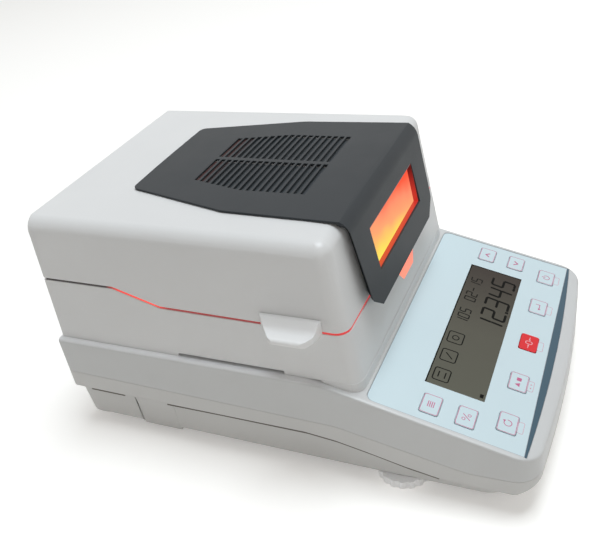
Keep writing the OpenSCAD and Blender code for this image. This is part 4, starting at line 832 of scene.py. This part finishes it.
# %% A ribbon of light in the joint
SEAM_LINE = [(-59, 113.5), (73.2, 115.2), (107.5, 125.6), (168, 125.6)]
SEAM_INSET, SEAM_ABOVE_FOOT, SEAM_CORNER = 0.7, 36, 8
SEAM_GAP, SEAM_HEIGHT = 0.05, 1.55
SIDE_DRAFT, FRONT_DRAFT = 0.034, 0.1334
REAR_FROM, REAR_INSET = 104, 0.3
seam_x = WALL_X - SIDE_DRAFT * SEAM_ABOVE_FOOT - SEAM_INSET
seam_front = WALL_FOOT_Y + FRONT_DRAFT * SEAM_ABOVE_FOOT + SEAM_INSET
seam_ys = (162, 135, 107.6, 104, 96, 88, 80, 73.2, 60, 40, 20, 0, -20)
joint_path = [(x - math.copysign(REAR_INSET, x) * (y > REAR_FROM), y)
              for x, y in round_front(seam_x, seam_front, SEAM_CORNER, seam_ys)]
band("joint_ribbon", joint_path, lambda x, y: at(SEAM_LINE, y) + SEAM_GAP,
     lambda x, y: at(SEAM_LINE, y) + SEAM_HEIGHT, "seam_glow", "lid")

# %% [markdown]
# ## Foot of the housing and the painted shadow in the groove under the skirt
# In front, the housing wall runs down to the film, because the deck slopes away below it. A strip of
# the same moulding closes that step. Under the skirt of the base a narrow groove parts it from the
# tub, and it stops at the bosses. A cut into the reshaped copy would need new edges all along it, so
# a dark strip shows it, coloured with the painted shadow that falls under the skirt.

# %% Wall foot and painted shadow in the skirt groove
FOOT_FRONT, FOOT_CORNER, FOOT_TOP, FOOT_THICKNESS = -59.05, 9.05, 78.6, 0.3
FILM_EDGE_Y, FILM_EDGE_Z, FILM_RISE = -62, 70.2, 0.254
foot_path = round_front(WALL_X, FOOT_FRONT, FOOT_CORNER, (-34, -38, -43))
band("wall_foot", foot_path, lambda x, y: FILM_EDGE_Z + (y - FILM_EDGE_Y) * FILM_RISE,
     lambda x, y: FOOT_TOP, "white_shell", "base", FOOT_THICKNESS)

GROOVE_X, GROOVE_LOW, GROOVE_HIGH, GROOVE_THICKNESS = 98.45, 5.7, 1.0, 0.15
GROOVES = {"rear": (157, 150, 140, 126),
           "front": (90, 70, 45, 17, -10, -18, -30, -39, -50, -62, -73, -85, -95, -104)}

def under_skirt(y):
    return at(SKIRT_LINE, y) + at(SKIRT_DROP, y)

# Dark strips in the groove: painted shadow under the skirt's overhang.
for name, x in (("left", -GROOVE_X), ("right", GROOVE_X)):
    for part, ys in GROOVES.items():
        band(f"skirt_groove_shadow_{name}_{part}", [(x, y) for y in ys],
             lambda x, y: under_skirt(y) - GROOVE_LOW, lambda x, y: under_skirt(y) - GROOVE_HIGH,
             "groove", "base", GROOVE_THICKNESS)

# %% [markdown]
# ## Painted shade behind the vents
# Behind the slots of the cover lies a dark sheet, painted shade for the slots, which also keeps the
# white shell from showing through. It is one thin tile with cut corners, a little smaller than the
# cover, and its faint glow, reddish near the lamps, is painted lamp light.

# %% Vent sheet of painted shade
SHADE_SHEET_Y, SHADE_SHEET_WIDTH, SHADE_SHEET_LENGTH, SHADE_SHEET_CUT = 37, 104, 120, 24.0
SHADE_SHEET_HEIGHT, SHADE_SHEET_THICKNESS = 172.2, 0.4
bm = bmesh.new()
tile(bm, 0, SHADE_SHEET_Y, SHADE_SHEET_WIDTH, SHADE_SHEET_LENGTH, SHADE_SHEET_CUT, segments=1)
lay(bm, "vent_painted_shade", "vent_shade", "lid", height=SHADE_SHEET_HEIGHT,
    ink=SHADE_SHEET_THICKNESS, place=Matrix.Identity(4))

# %% [markdown]
# ## Sizes at the end
# The dressed object must fill the same box as the imported one, so the difference of the two boxes is
# printed.

# %% Compare the two boxes and finish
new_low, new_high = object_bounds()
differences = zip([*new_low, *new_high], [*cad_low, *cad_high])
print("box difference mm", [round((a - b) / MM, 3) for a, b in differences])
